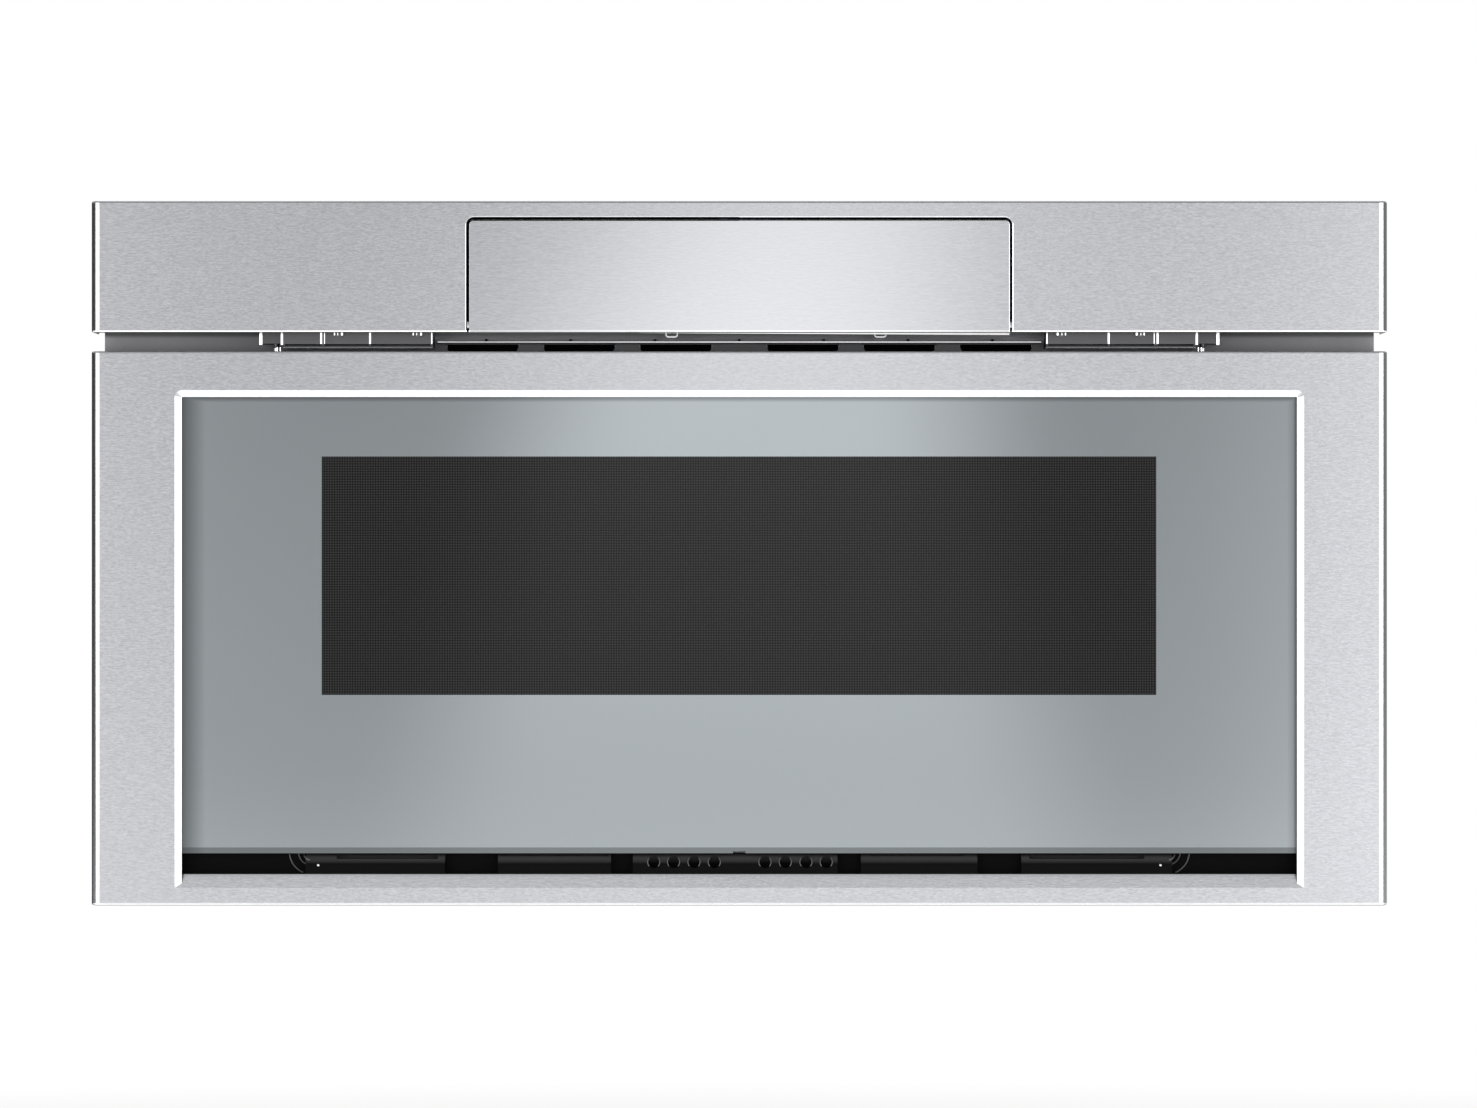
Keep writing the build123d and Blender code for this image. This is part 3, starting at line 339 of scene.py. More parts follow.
def stainless(name, tone, scratch, contrast, rough, joint_depth):
    """Brushed sheet with scratches of a length in millimetres."""
    metal = Finish(name)
    x, y, z = metal.axes()
    across, deep, up = x / scratch, y * FINE_WAVES, z * FINE_WAVES
    fine = metal.noise(across, deep, up, detail=1.0, roughness=0.4)
    across, deep, up = x / (COARSE_LENGTH * scratch), y * COARSE_WAVES, z * COARSE_WAVES
    coarse = metal.noise(across, deep + 40, up + 40, detail=0.0)
    grain = fine * 0.7 + coarse * 0.3
    dark, light = scaled(tone, 1 - contrast), scaled(tone, 1 + contrast)
    brushed = metal.blend((grain - 0.5) * 3.2 + 0.5, dark, light)
    # painted highlights along the folds at the foot
    brushed = metal.blend(z.within(*FASCIA_FOLD_HIGHLIGHT), brushed, PAINTED_FOLD_HIGHLIGHT)
    brushed = metal.blend(z.within(*DRAWER_FOLD_HIGHLIGHT) * 0.5, brushed, PAINTED_FOLD_HIGHLIGHT)
    # painted dark reflection on the rounded left end, made less metallic so that it stays dark
    shaded_end = (x < fascia_low.x / MM + SHADED_END_WIDTH) * (y < FRONT_MM + SHADED_END_DEPTH)
    left = painted_edge_shade(x, y, z, joint_depth) - shaded_end * SHADED_END_LOSS
    metal.set(
        Base_Color=metal.blend(left, grey(0.0), brushed),
        Metallic=1.0 - shaded_end * 0.8,
        Roughness=metal.between(grain, rough - 0.04, rough + 0.04),
        Normal=metal.bump(fine, 0.05),
    )
    return metal.material


steel = stainless("brushed_stainless", (0.61, 0.618, 0.646), 1.9, 0.085, 0.19, 0.18)
door_steel = stainless("brushed_door", (0.655, 0.662, 0.69), 3.0, 0.052, 0.14, 0.04)
print("stainless:", steel.name, len(steel.node_tree.nodes), "nodes, and", door_steel.name)

# %% [markdown]
# ## The tinted glass and its dark window
# The pane is grey glass, coated behind. The window is a black screen with a fine grid of
# holes, seen through the glass: a dot every 1.5 mm, in a square grid, is plain
# arithmetic on X and Z. Over the last millimetres to the edges the pane darkens, a
# painted shade of the frame, and towards its foot it is lighter, a painted reflection.

# %% Glass
WINDOW_X = (photo_x(321.4), photo_x(1156.6))
WINDOW_Z = (photo_z(695.0), photo_z(456.4))
DOT_PITCH, DOT_RADIUS = 1.5, 0.5
GLASS_EDGE_X, GLASS_EDGE_TOP = photo_x(1297.6), photo_z(396.1)
GLASS_FOOT, GLASS_TOP = glass_low.z / MM, glass_high.z / MM
# where the painted edge shade sets in, in millimetres in from an edge
FADE_LEFT, FADE_TOP = (-5.5, 14.0), (1.5, 3.6)
FADE_RIGHT, LATE_FADE_RIGHT = (0.0, 2.5), (2.5, 6.0)
FOOT_STRIP = 3.4  # height of the darker strip along the foot
TINT_LOW, TINT_HIGH = (0.353, 0.386, 0.404, 1), (0.383, 0.412, 0.430, 1)
# painted reflection: the pane is lighter towards its foot
FOOT_REFLECTION_TINT = scaled((0.355, 0.385, 0.403), 1.16)
EDGE_SHADE_GLASS = (0.045, 0.049, 0.052, 1)


def window_dots(glass, x, z):
    """The perforated screen: a dark sheet with darker round holes."""
    across = x % DOT_PITCH - DOT_PITCH / 2
    up = z % DOT_PITCH - DOT_PITCH / 2
    dot = across * across + up * up < DOT_RADIUS**2
    return glass.blend(dot, grey(0.007), grey(0.044))


def glass_edge_shade(x, z):
    """How much of the tint is kept: none at an edge, where painted shade of the frame takes its
    place, less along the foot strip, 1 over most of the pane.
    """
    left = (x + GLASS_EDGE_X).ramp(*FADE_LEFT)
    to_right = GLASS_EDGE_X - x
    right = to_right.ramp(*FADE_RIGHT) * 0.75 + to_right.ramp(*LATE_FADE_RIGHT) * 0.25
    under = (GLASS_EDGE_TOP - z).ramp(*FADE_TOP) * 0.5 + 0.5
    over = (z > GLASS_FOOT + FOOT_STRIP) * 0.54 + 0.46
    return left.least(right).least(under) * over


def tinted_glass():
    glass = Finish("tinted_glass", Roughness=0.07, Specular_IOR_Level=0.2, IOR=1.52)
    x, y, z = glass.axes()
    in_window = x.within(*WINDOW_X) * z.within(*WINDOW_Z)
    cloud = glass.noise(x * 0.01, y, z * 0.01)
    tint = glass.blend(cloud, TINT_LOW, TINT_HIGH)
    height = (z - GLASS_FOOT) / (GLASS_TOP - GLASS_FOOT)
    # lighter towards the foot, a painted reflection
    tint = glass.blend(height, FOOT_REFLECTION_TINT, tint)
    # painted shade of the frame along the pane's edges
    tint = glass.blend(glass_edge_shade(x, z), EDGE_SHADE_GLASS, tint)
    glass.set(
        Base_Color=glass.blend(in_window, tint, window_dots(glass, x, z)),
        Metallic=(1 - in_window) * 0.75,
    )
    return glass.material


window_glass = tinted_glass()
print("dark window", [round(high - low, 1) for low, high in (WINDOW_X, WINDOW_Z)], "mm")

# %% [markdown]
# ## Plain finishes
# The rest of the object is sheet steel, enamel, black moulded plastic and small metal
# parts. Flat colours would look like toys, so each has its own small pattern: zinc
# spangle, the orange peel of enamel, moulded grain, or the cloud in a plating.


# %% Sheet, enamel, plastic and plating
SPANGLE = 0.09  # zinc crystals per millimetre


def galvanised():
    zinc = Finish("galvanised", Metallic=1.0)
    x, y, z = zinc.axes()
    where = zinc.add("ShaderNodeCombineXYZ", {}, [x * SPANGLE, y * SPANGLE, z * SPANGLE])
    cells = zinc.add("ShaderNodeTexVoronoi", {}, {"Vector": where, "Scale": 1.0}, output="Color")
    spangle = zinc.add("ShaderNodeRGBToBW", {}, [cells])
    zinc.set(
        Base_Color=zinc.blend(spangle, grey(0.46), grey(0.54)),
        Roughness=zinc.between(spangle, 0.38, 0.5),
    )
    return zinc.material


def enamel(name, tone):
    coat = Finish(name, Roughness=0.35, Coat_Weight=0.2)
    colour = coat.blend(coat.cloud(0.02), scaled(tone, 0.94), scaled(tone, 1.0))
    coat.set(Base_Color=colour, Normal=coat.bump(coat.cloud(0.8), 0.08))
    return coat.material


def moulded(name, tone, roughness=0.5, gloss=0.5):
    """Plastic or rubber with a fine grain."""
    plastic = Finish(name, Specular_IOR_Level=gloss)
    grain = plastic.cloud(4.0, detail=3.0)
    plastic.set(
        Base_Color=plastic.blend(grain, scaled(tone, 0.8), scaled(tone, 1.2)),
        Roughness=plastic.between(grain, roughness - 0.08, roughness + 0.08),
        Normal=plastic.bump(grain, 0.12),
    )
    return plastic.material


def plated(name, tone, roughness=0.3):
    """Metal with a slightly cloudy plating."""
    metal = Finish(name, Metallic=1.0)
    cloud = metal.cloud(0.15, detail=4.0)
    metal.set(
        Base_Color=metal.blend(cloud, scaled(tone, 0.85), scaled(tone, 1.1)),
        Roughness=metal.between(cloud, roughness - 0.06, roughness + 0.1),
    )
    return metal.material


print("zinc crystals about", round(1 / SPANGLE), "mm across")

# %% [markdown]
# ## Sheets in the gap over the drawer
# Between the fascia and the drawer the photograph shows a grey strip: the flange plate,
# the exhaust guide and the brackets. The guide and the fascia shade them unevenly, and a
# gap of 11 mm is too narrow for the studio to do that well. So these sheets take their
# grey from a formula of the place.


# %% Sheets in the gap
def shaded_sheet(name, tone_at, roughness=0.4):
    """Sheet steel whose grey is a formula of the place, in millimetres."""
    metal = Finish(name, Metallic=1.0)
    cloud = metal.cloud(0.15, detail=4.0)
    tone = tone_at(*metal.axes()) * (cloud * 0.25 + 0.85)
    metal.set(
        Base_Color=metal.blend(tone, grey(0.0), (1.0, 1.0, 1.03, 1.0)),
        Roughness=metal.between(cloud, roughness - 0.06, roughness + 0.1),
    )
    return metal.material


GUIDE_END = (176, 184)  # where the plate turns darker, beside the guide
PLATE_END = (280, 340)  # where it turns paler again, towards its ends
GAP_FOOT, GAP_TOP = (108, 112), 140  # the shading stays between these heights
GAP_LIGHT = (118, 127)  # it is paler higher up
UNDER_FASCIA = (127.2, 129.2)  # and darker again under the fascia
PLAIN_PLATE = 0.42
GUIDE_LIP_Z = 124.8
BRACKET_FLOOR = (120.8, 122.5)  # underside and edge of the brackets' floor plates


def flange_tone(x, y, z):
    tone = 0.41 - abs(x).ramp(*GUIDE_END) * 0.205 + abs(x).ramp(*PLATE_END) * 0.08
    shade = 1.0 - z.ramp(*UNDER_FASCIA) * 0.55
    in_gap = z.ramp(*GAP_FOOT) * (z < GAP_TOP)
    return tone * (z.ramp(*GAP_LIGHT) * 0.5 + 0.68) * shade * in_gap + (1.0 - in_gap) * PLAIN_PLATE


def guide_tone(x, y, z):
    """The lip along the top is painted lighter than the guide under it, a painted highlight."""
    return (z > GUIDE_LIP_Z) * 0.09 + 0.10


def bracket_tone(x, y, z):
    """The wall, the darker edge of the floor plate under it, and its paler underside: painted
    shade and painted reflection.
    """
    underside, edge = BRACKET_FLOOR
    return 0.09 + (z > edge) * 0.04 + (z < underside) * 0.8


flange_steel = shaded_sheet("flange_steel", flange_tone)
guide_steel = shaded_sheet("guide_steel", guide_tone)
bracket_steel = shaded_sheet("bracket_steel", bracket_tone)
print("shaded:", flange_steel.name, guide_steel.name, bracket_steel.name)

# %% [markdown]
# ## The grille, and what is inside
# The grille bar is satin black, and the tops of its raised panels get a painted sheen.
# What the case hides gets finishes as well, since the drawer slides out and the covers may
# come off: wound copper, a circuit board, the ceramic plate and the glass of the key deck.


# %% Grille and inside finishes
def grille_plastic():
    """Satin black plastic with a painted sheen along the tops of its raised panels."""
    plastic = Finish("grille_plastic", Specular_IOR_Level=0.04)
    x, y, z = plastic.axes()
    grain = plastic.cloud(4.0, detail=3.0)
    grille_top = grille_high.z / MM
    raised = y < grille_low.y / MM + 7.5
    # painted sheen along the tops of the raised panels
    sheen = z.ramp(grille_top - 6.0, grille_top - 2.2) * raised
    plastic.set(
        Base_Color=plastic.blend(sheen, grey(0.004), grey(0.085)),
        Roughness=plastic.between(grain, 0.4, 0.55),
        Normal=plastic.bump(grain, 0.08),
    )
    return plastic.material


def windings():
    """Enamelled wire, wound in level turns, darker in the grooves and lighter on the crests:
    painted shade and highlight.
    """
    pitch = 1.2
    copper = Finish("enamelled_copper", Metallic=1.0, Roughness=0.35)
    x, y, z = copper.axes()
    turn = abs(z % pitch - pitch / 2) * (2 / pitch)
    copper.set(
        Base_Color=copper.blend(turn, (0.20, 0.07, 0.03, 1), (0.62, 0.28, 0.13, 1)),
        Normal=copper.bump(turn, 0.6, 0.3 * MM),
    )
    return copper.material


def board():
    """Green laminate, with tracks along the contours of a cloud."""
    green = Finish("circuit_board", Roughness=0.4)
    tracks = green.cloud(0.35, detail=0.0)
    lines = abs((tracks * 14.0) % 1.0 - 0.5) < 0.12
    green.set(Base_Color=green.blend(lines, (0.01, 0.09, 0.04, 1), (0.05, 0.2, 0.09, 1)))
    return green.material


def ceramic_plate():
    plate = Finish("ceramic_plate", Roughness=0.12, Coat_Weight=0.3)
    cloud = plate.cloud(0.03)
    plate.set(Base_Color=plate.blend(cloud, (0.68, 0.68, 0.65, 1), (0.76, 0.76, 0.73, 1)))
    return plate.material


def black_glass():
    pane = Finish("black_glass", Roughness=0.05, Specular_IOR_Level=0.5)
    pane.set(Base_Color=pane.blend(pane.cloud(0.05), grey(0.008), grey(0.014)))
    return pane.material


plate_white = ceramic_plate()
print(plate_white.name, "has", len(plate_white.node_tree.nodes), "nodes")

# %% [markdown]
# ## One finish per slot
# The record names a material slot for every node. A table from slot to finish dresses
# them all, except the few pieces in a second table, which have a finish of their own.

# %% Dress the nodes
# four finishes that more than one slot or piece has
dull_black = moulded("cassette_black", grey(0.006), 0.6, gloss=0.03)
light_enamel = enamel("light_enamel", (0.62, 0.62, 0.59))
bright_zinc = plated("bright_zinc", (0.72, 0.72, 0.72), 0.25)
aluminium = plated("aluminium", (0.78, 0.78, 0.79), 0.3)
SLOT_FINISH = {
    "stainless": steel,
    "tinted_glass": window_glass,
    "touch_glass": black_glass(),
    "window_mesh": moulded("screen_black", grey(0.02)),
    "black_plastic": moulded("black_plastic", grey(0.006), gloss=0.12),
    "bushing_plastic": moulded("black_rubber", grey(0.02), 0.7),
    "chassis_steel": galvanised(),
    "vent_steel": plated("bright_steel", (0.80, 0.80, 0.81), 0.2),
    "cavity_paint": light_enamel,
    "tub_steel": light_enamel,
    "glass_ceramic": plate_white,
    "screw_steel": bright_zinc,
    "slide_steel": plated("slide_zinc", (0.62, 0.62, 0.63), 0.32),
    "mica": moulded("mica", (0.66, 0.60, 0.48), 0.55),
    "aluminium": aluminium,
    "motor_steel": plated("motor_can", (0.5, 0.5, 0.51), 0.35),
    "core_steel": plated("laminations", (0.16, 0.15, 0.14), 0.5),
    "copper_wire": windings(),
    "can_steel": aluminium,
    "fan_plastic": moulded("fan_black", grey(0.03), 0.45),
    "circuit_board": board(),
    "gear_plastic": moulded("nylon", (0.80, 0.79, 0.73), 0.45),
    "switch_plastic": moulded("switch_cream", (0.72, 0.68, 0.58), 0.4),
    "lamp_white": plate_white,
}
OWN_FINISH = {
    "control_door": door_steel,
    "front_plate": flange_steel,
    "vent_guide": guide_steel,
    "fascia_brackets": bracket_steel,
    "control_cassette": dull_black,
    "screws": plated("black_zinc", (0.16, 0.16, 0.165), 0.3),
    "air_grille": grille_plastic(),
}

for row in frame["record"]["subparts"]:
    slots = nodes[row["node"]].data.materials
    slots.clear()
    slots.append(OWN_FINISH.get(row["node"], SLOT_FINISH[row["material_slot"]]))
print(len(SLOT_FINISH), "slots,", len(OWN_FINISH), "nodes with a finish of their own")

# %% [markdown]
# ## Cut edges that catch the light
# In the gap over the drawer the sheet faces are painted dark, and steel is bright along a
# fresh cut, so those cuts read as thin white lines. Each one is a slim bar with softened
# edges, laid along the sheet that it finishes. The first is the lip of the exhaust guide.


# %% Edge of the guide's lip
def add_bar(bm, x, y, z, soften, slant=0.0):
    """A bar between pairs of corners, in millimetres, with bevelled edges.

    slant sets the front face at an angle: its outer side is that much further back.
    """
    outer = 1 if x[0] > 0 else -1
    made = bmesh.ops.create_cube(bm, size=1.0)["verts"]
    for vertex in made:
        outside, front = vertex.co.x * outer > 0, vertex.co.y < 0
        vertex.co = Vector(
            [low + (high - low) * (c + 0.5) for c, (low, high) in zip(vertex.co, (x, y, z))]
        )
        if outside and front:
            vertex.co.y += slant
    edges = list({edge for vertex in made for edge in vertex.link_edges})
    bmesh.ops.bevel(bm, geom=edges, offset=soften, segments=2, profile=0.5, affect="EDGES")


def piece_from(bm, name, finish, body):
    """Turn millimetres into metres and hang the piece on its body."""
    bmesh.ops.scale(bm, vec=(MM, MM, MM), verts=bm.verts)
    bmesh.ops.recalc_face_normals(bm, faces=bm.faces)
    mesh = bpy.data.meshes.new(name)
    bm.to_mesh(mesh)
    bm.free()
    mesh.materials.append(finish)
    piece = bpy.data.objects.new(name, mesh)
    bpy.context.scene.collection.objects.link(piece)
    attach(piece, body)
    return piece


cut_steel = plated("cut_steel", (0.90, 0.90, 0.91), 0.16)
guide_y = guide_low.y / MM
LIP_HALF, LIP_Z = 177.7, 124.9
LIP_BAR_Y, LIP_BAR_Z = (guide_y - 0.5, guide_y + 0.4), (LIP_Z - 0.85, LIP_Z + 0.02)
bm = bmesh.new()
add_bar(bm, (-LIP_HALF, LIP_HALF), LIP_BAR_Y, LIP_BAR_Z, 0.15)
piece_from(bm, "guide_lip_edge", cut_steel, "case")
print("lip edge", 2 * LIP_HALF, "mm long")

# %% [markdown]
# ## Edges of the brackets
# The two fascia brackets are mirror images: upright webs, tabs with a cut edge, screws
# and pins, and each shows as a bright line. A face that looks straight ahead would mirror
# the camera's side of the studio, which is dim, so these bars are slanted outwards, to
# where the bright cards stand.


# %% Bracket edges
# spans of X on the right-hand bracket, then where those bars stand in Y and Z
WEBS = [(180.1, 180.8), (216.1, 217.2), (243.1, 243.6), (244.8, 245.9)]
TAB_EDGES = [(268.1, 269.5), (280.3, 282.1)]
SCREW_GLINTS = [
    (232.4, 233.5), (235.2, 235.6), (237.0, 237.7),
    (186.1, 187.1), (188.9, 189.3), (190.9, 191.5),
]
PINS = [(271.3, 272.0), (269.6, 270.2)]
WEB_Y, WEB_Z = (-31.6, -30.8), (123.0, 140.0)
TAB_Y, TAB_Z = (-24.7, -23.8), (122.6, 130.8)
SCREW_Y, SCREW_Z = (-34.2, -33.2), (127.9, 129.9)
PIN_Y, PIN_Z = (-22.6, -21.6), (118.2, 121.2)
# how far back a bar's outer side stands, as a share of its width: 15 and 10 degrees
SLANT, WEB_SLANT = 0.27, 0.17


def add_mirrored(bm, spans, y, z, soften, slant):
    """Bars at the given spans of X and at their mirror images."""
    for side in (-1, 1):
        for near, far in spans:
            across = sorted((side * near, side * far))
            add_bar(bm, across, y, z, soften, slant * (far - near))


bm = bmesh.new()
add_mirrored(bm, WEBS, WEB_Y, WEB_Z, 0.08, WEB_SLANT)
add_mirrored(bm, TAB_EDGES, TAB_Y, TAB_Z, 0.1, SLANT)
add_mirrored(bm, SCREW_GLINTS, SCREW_Y, SCREW_Z, 0.06, SLANT)
edges = piece_from(bm, "bracket_edges", cut_steel, "case")
bm = bmesh.new()
add_mirrored(bm, PINS, PIN_Y, PIN_Z, 0.05, SLANT)
piece_from(bm, "bracket_pins", cut_steel, "case")
print("bracket edges:", len(edges.data.polygons), "faces")

# %% [markdown]
# ## Foot of the control door
# The lower edge of the door shows more of its cut towards the right, as if it hung a hair
# askew. One more bar gives it, tapered after it is made: its top stays level, and its
# foot rises towards the left.

# %% Foot of the control door
WEDGE_LEFT, WEDGE_RIGHT = -58.0, 158.0
WEDGE_Y = (FRONT_MM + 0.5, FRONT_MM + 1.1)
WEDGE_TOP, WEDGE_HEIGHT = door_low.z / MM - 0.25, 1.25
WEDGE_THIN = 0.06  # its height at the left, as a share
bm = bmesh.new()
wedge_z = (WEDGE_TOP - WEDGE_HEIGHT, WEDGE_TOP)
add_bar(bm, (WEDGE_LEFT, WEDGE_RIGHT), WEDGE_Y, wedge_z, 0.05)
for vertex in bm.verts:
    share = (vertex.co.x - WEDGE_LEFT) / (WEDGE_RIGHT - WEDGE_LEFT)
    share = WEDGE_THIN + (1 - WEDGE_THIN) * share
    vertex.co.z = WEDGE_TOP + (vertex.co.z - WEDGE_TOP) * share
piece_from(bm, "door_foot_edge", cut_steel, "control_panel")
print("wedge from", round(WEDGE_HEIGHT * WEDGE_THIN, 2), "to", WEDGE_HEIGHT, "mm high")

# %% [markdown]
# ## Painted shade in the dimples and the slots
# The guide's lip has a row of dimples, and behind its slots there is only shade. Both get
# bars again, in a dull black, as painted shade, so that the holes read as depth and not as
# sheet.

# %% Painted shade in dimples and slots
# painted shade: a black bar in each dimple
DIMPLES, DIMPLE_PITCH, DIMPLE_SHADE_HALF = 7, 49.65, 0.8
bm = bmesh.new()
for i in range(DIMPLES):
    x = (i - DIMPLES // 2) * DIMPLE_PITCH
    plug_x, plug_y = (x - DIMPLE_SHADE_HALF, x + DIMPLE_SHADE_HALF), (guide_y, guide_y + 0.6)
    add_bar(bm, plug_x, plug_y, (LIP_Z + 0.05, LIP_Z + 1.4), 0.2)
piece_from(bm, "guide_dimple_shade", dull_black, "case")

SLOT_FIRST, SLOT_PITCH, SLOTS_PER_SIDE = 37.5, 57.0, 3
# painted shade: black sheets behind the guide's slots
SLOT_SHADE_HALF, SLOT_SHADE_Y, SLOT_SHADE_Z = 22.0, (0.2, 0.7), (112.5, 124.3)
bm = bmesh.new()
for side in (-1, 1):
    for i in range(SLOTS_PER_SIDE):
        x = side * (SLOT_FIRST + SLOT_PITCH * i)
        add_bar(bm, (x - SLOT_SHADE_HALF, x + SLOT_SHADE_HALF), SLOT_SHADE_Y, SLOT_SHADE_Z, 0.1)
piece_from(bm, "vent_slot_shade", dull_black, "case")
print(DIMPLES, "plugs and", 2 * SLOTS_PER_SIDE, "screens")

# %% [markdown]
# ## Ribs and rims of the grille
# Beside each outer panel the black bar has nested corner ribs, and each round hole has a
# raised rim. They are NURBS arcs with a round section, sunk halfway into the plastic: a
# curve keeps its thickness on any bend. The panels have a rounded brow, so the arcs
# follow it back as they rise.

# %% Grille ribs and rims
GRILLE_FACE = grille_low.y / MM  # front of the raised panels
GRILLE_DEEP = GRILLE_FACE + 8.0  # face of the bar between them
GRILLE_BROW = 7.0  # radius of a panel's rounded top
GRILLE_TOP = grille_high.z / MM
CORNER = (251.3, -175.3)  # centre of the nested corners, X and Z
# radius of each rib, whether it lies in the recess, and how far round it runs, in degrees
CORNER_ARCS = [(12.9, True, 68), (7.6, True, 88), (4.3, False, 84)]
HOLES = [-50.0, -38.4, -26.4, -14.5, 15.2, 27.1, 39.2, 51.1]
HOLE_Z = -180.8
RIM_RADIUS, RIM_SHIFT, RIM_REACH = 3.6, -0.2, 42
RIB_THICK, RIM_THICK = 0.42, 0.26
# painted highlight: the ribs and rims are a lighter grey than the black bar, and each rim runs
# only on the two sides of its hole
rib_highlight_plastic = moulded("rib_highlight_plastic", grey(0.15), 0.3)


def brow_y(z):
    """Depth of a raised panel's face at height z."""
    over = max(0.0, GRILLE_BROW - (GRILLE_TOP - z))
    return GRILLE_FACE + GRILLE_BROW - math.sqrt(GRILLE_BROW**2 - min(over, GRILLE_BROW) ** 2)


def arc(centre, radius, start, stop, deep, count=7):
    """Points along an arc, in degrees from +X towards +Z, on a panel or in the recess."""
    points = []
    for i in range(count):
        turn = math.radians(start + (stop - start) * i / (count - 1))
        x = centre[0] + radius * math.cos(turn)
        z = centre[1] + radius * math.sin(turn)
        points.append((x, GRILLE_DEEP if deep else brow_y(z), z))
    return points


def tube_curve(name, paths, thickness):
    """Round NURBS ribs through the given points."""
    curve = bpy.data.curves.new(name, "CURVE")
    curve.dimensions = "3D"
    curve.bevel_depth = thickness * MM
    curve.bevel_resolution = 3
    curve.use_fill_caps = True
    for path in paths:
        spline = curve.splines.new("NURBS")
        spline.points.add(len(path) - 1)
        for point, spot in zip(spline.points, path):
            point.co = (*(v * MM for v in spot), 1.0)
        spline.order_u = 4
        spline.use_endpoint_u = True
    curve.materials.append(rib_highlight_plastic)
    ribs = bpy.data.objects.new(name, curve)
    bpy.context.scene.collection.objects.link(ribs)
    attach(ribs, "drawer")


corner_ribs = []
for side in (-1, 1):
    centre = (side * CORNER[0], CORNER[1])
    for radius, deep, away in CORNER_ARCS:
        start, stop = (185, 180 + away) if side < 0 else (-5, -away)
        corner_ribs.append(arc(centre, radius, start, stop, deep))
tube_curve("grille_ribs", corner_ribs, RIB_THICK)
rims = []
for x in HOLES:
    centre = (x + RIM_SHIFT, HOLE_Z)
    for middle in (0, 180):
        rims.append(arc(centre, RIM_RADIUS, middle - RIM_REACH, middle + RIM_REACH, False))
tube_curve("grille_rims", rims, RIM_THICK)
print(len(corner_ribs), "corner ribs and", len(rims), "rims")

# %% [markdown]
# ## Pegs of the grille
# A small domed peg of bright metal sits beside the corner ribs at each end. A dome that
# is only 2 mm across needs few faces: it is a stack of rings that closes on a tip, shaded
# smooth.


# %% Grille pegs
PEG = (246.8, -182.6)
PEG_RADIUS, PEG_HEIGHT = 0.9, 0.8


def add_dome(bm, centre, radius, height):
    """A domed peg that points away from the grille."""
    rings, steps = 5, 20
    x, z = centre
    base_y = brow_y(z)
    loops = []
    for ring in range(rings):
        angle = math.pi / 2 * ring / rings
        r, y = radius * math.cos(angle), base_y - height * math.sin(angle)
        loop = []
        for step in range(steps):
            turn = 2 * math.pi * step / steps
            loop.append(bm.verts.new((x + r * math.cos(turn), y, z + r * math.sin(turn))))
        loops.append(loop)
    tip = bm.verts.new((x, base_y - height, z))
    for low, high in zip(loops, loops[1:]):
        for step in range(steps):
            after = (step + 1) % steps
            bm.faces.new((low[step], low[after], high[after], high[step]))
    for step in range(steps):
        bm.faces.new((loops[-1][step], loops[-1][(step + 1) % steps], tip))


bm = bmesh.new()
for side in (-1, 1):
    add_dome(bm, (side * PEG[0], PEG[1]), PEG_RADIUS, PEG_HEIGHT)
pegs = piece_from(bm, "grille_pegs", bright_zinc, "drawer")
for face in pegs.data.polygons:
    face.use_smooth = True
print("pegs:", len(pegs.data.polygons), "faces")

# %% [markdown]
# ## Numbers on the touch glass
# The control panel tips out of the fascia to show a glass deck. Its ten digits are
# printed on the glass, and a clock glows behind it. Text curves give good numerals. They
# are turned into thin meshes and laid a hair above the sloping glass. Only numbers are
# written, as on any oven.

# %% Deck numbers
DECK_FRONT = (-37.2, 193.0)  # y and z of the deck's front and back edges
DECK_BACK = (-3.5, 183.0)
UPPER_ROW, LOWER_ROW = 0.68, 0.30  # from the front (0) to the back (1) of the deck
DIGIT_X, DIGIT_PITCH, DIGIT_SIZE = 62, 17, 6.0
CLOCK_SIZE = 15.0
DIGIT_LIFT, INK = 0.06, 0.04  # height over the glass, and half the ink's own thickness
deck_run = Vector((0, DECK_BACK[0] - DECK_FRONT[0], DECK_BACK[1] - DECK_FRONT[1]))
deck_up = deck_run.normalized()
deck_normal = Vector((1, 0, 0)).cross(deck_up)
print_ink = moulded("print_ink", grey(0.75))


def deck_matrix(x, along, lift):
    """Where a mark sits: x in millimetres, along from front (0) to back (1) of the deck."""
    spot = Vector((x, *DECK_FRONT)) + deck_run * along + deck_normal * lift
    frame_axes = Matrix((Vector((1, 0, 0)), deck_up, deck_normal)).transposed().to_4x4()
    return Matrix.Translation(spot) @ frame_axes


def clock_finish():
    lit = Finish("clock_light", Base_Color=(0.1, 0.5, 0.6, 1), Roughness=0.4)
    flicker = lit.cloud(2.0)
    lit.set(
        Emission_Color=lit.blend(flicker, (0.35, 0.85, 1.0, 1), (0.5, 0.95, 1.0, 1)),
        Emission_Strength=1.2,
    )
    return lit.material


def written(name, marks, finish):
    """One mesh of several numbers: (text, x, along, size) each."""
    bm = bmesh.new()
    for text, x, along, size in marks:
        curve = bpy.data.curves.new(name, "FONT")
        curve.body = text
        curve.size = size
        curve.align_x = "CENTER"
        curve.align_y = "CENTER"
        curve.extrude = INK
        letters = bpy.data.objects.new(name, curve)
        mesh = bpy.data.meshes.new_from_object(letters)
        mesh.transform(deck_matrix(x, along, DIGIT_LIFT))
        bm.from_mesh(mesh)
        bpy.data.meshes.remove(mesh)
        bpy.data.objects.remove(letters)
        bpy.data.curves.remove(curve)
    return piece_from(bm, name, finish, "control_panel")


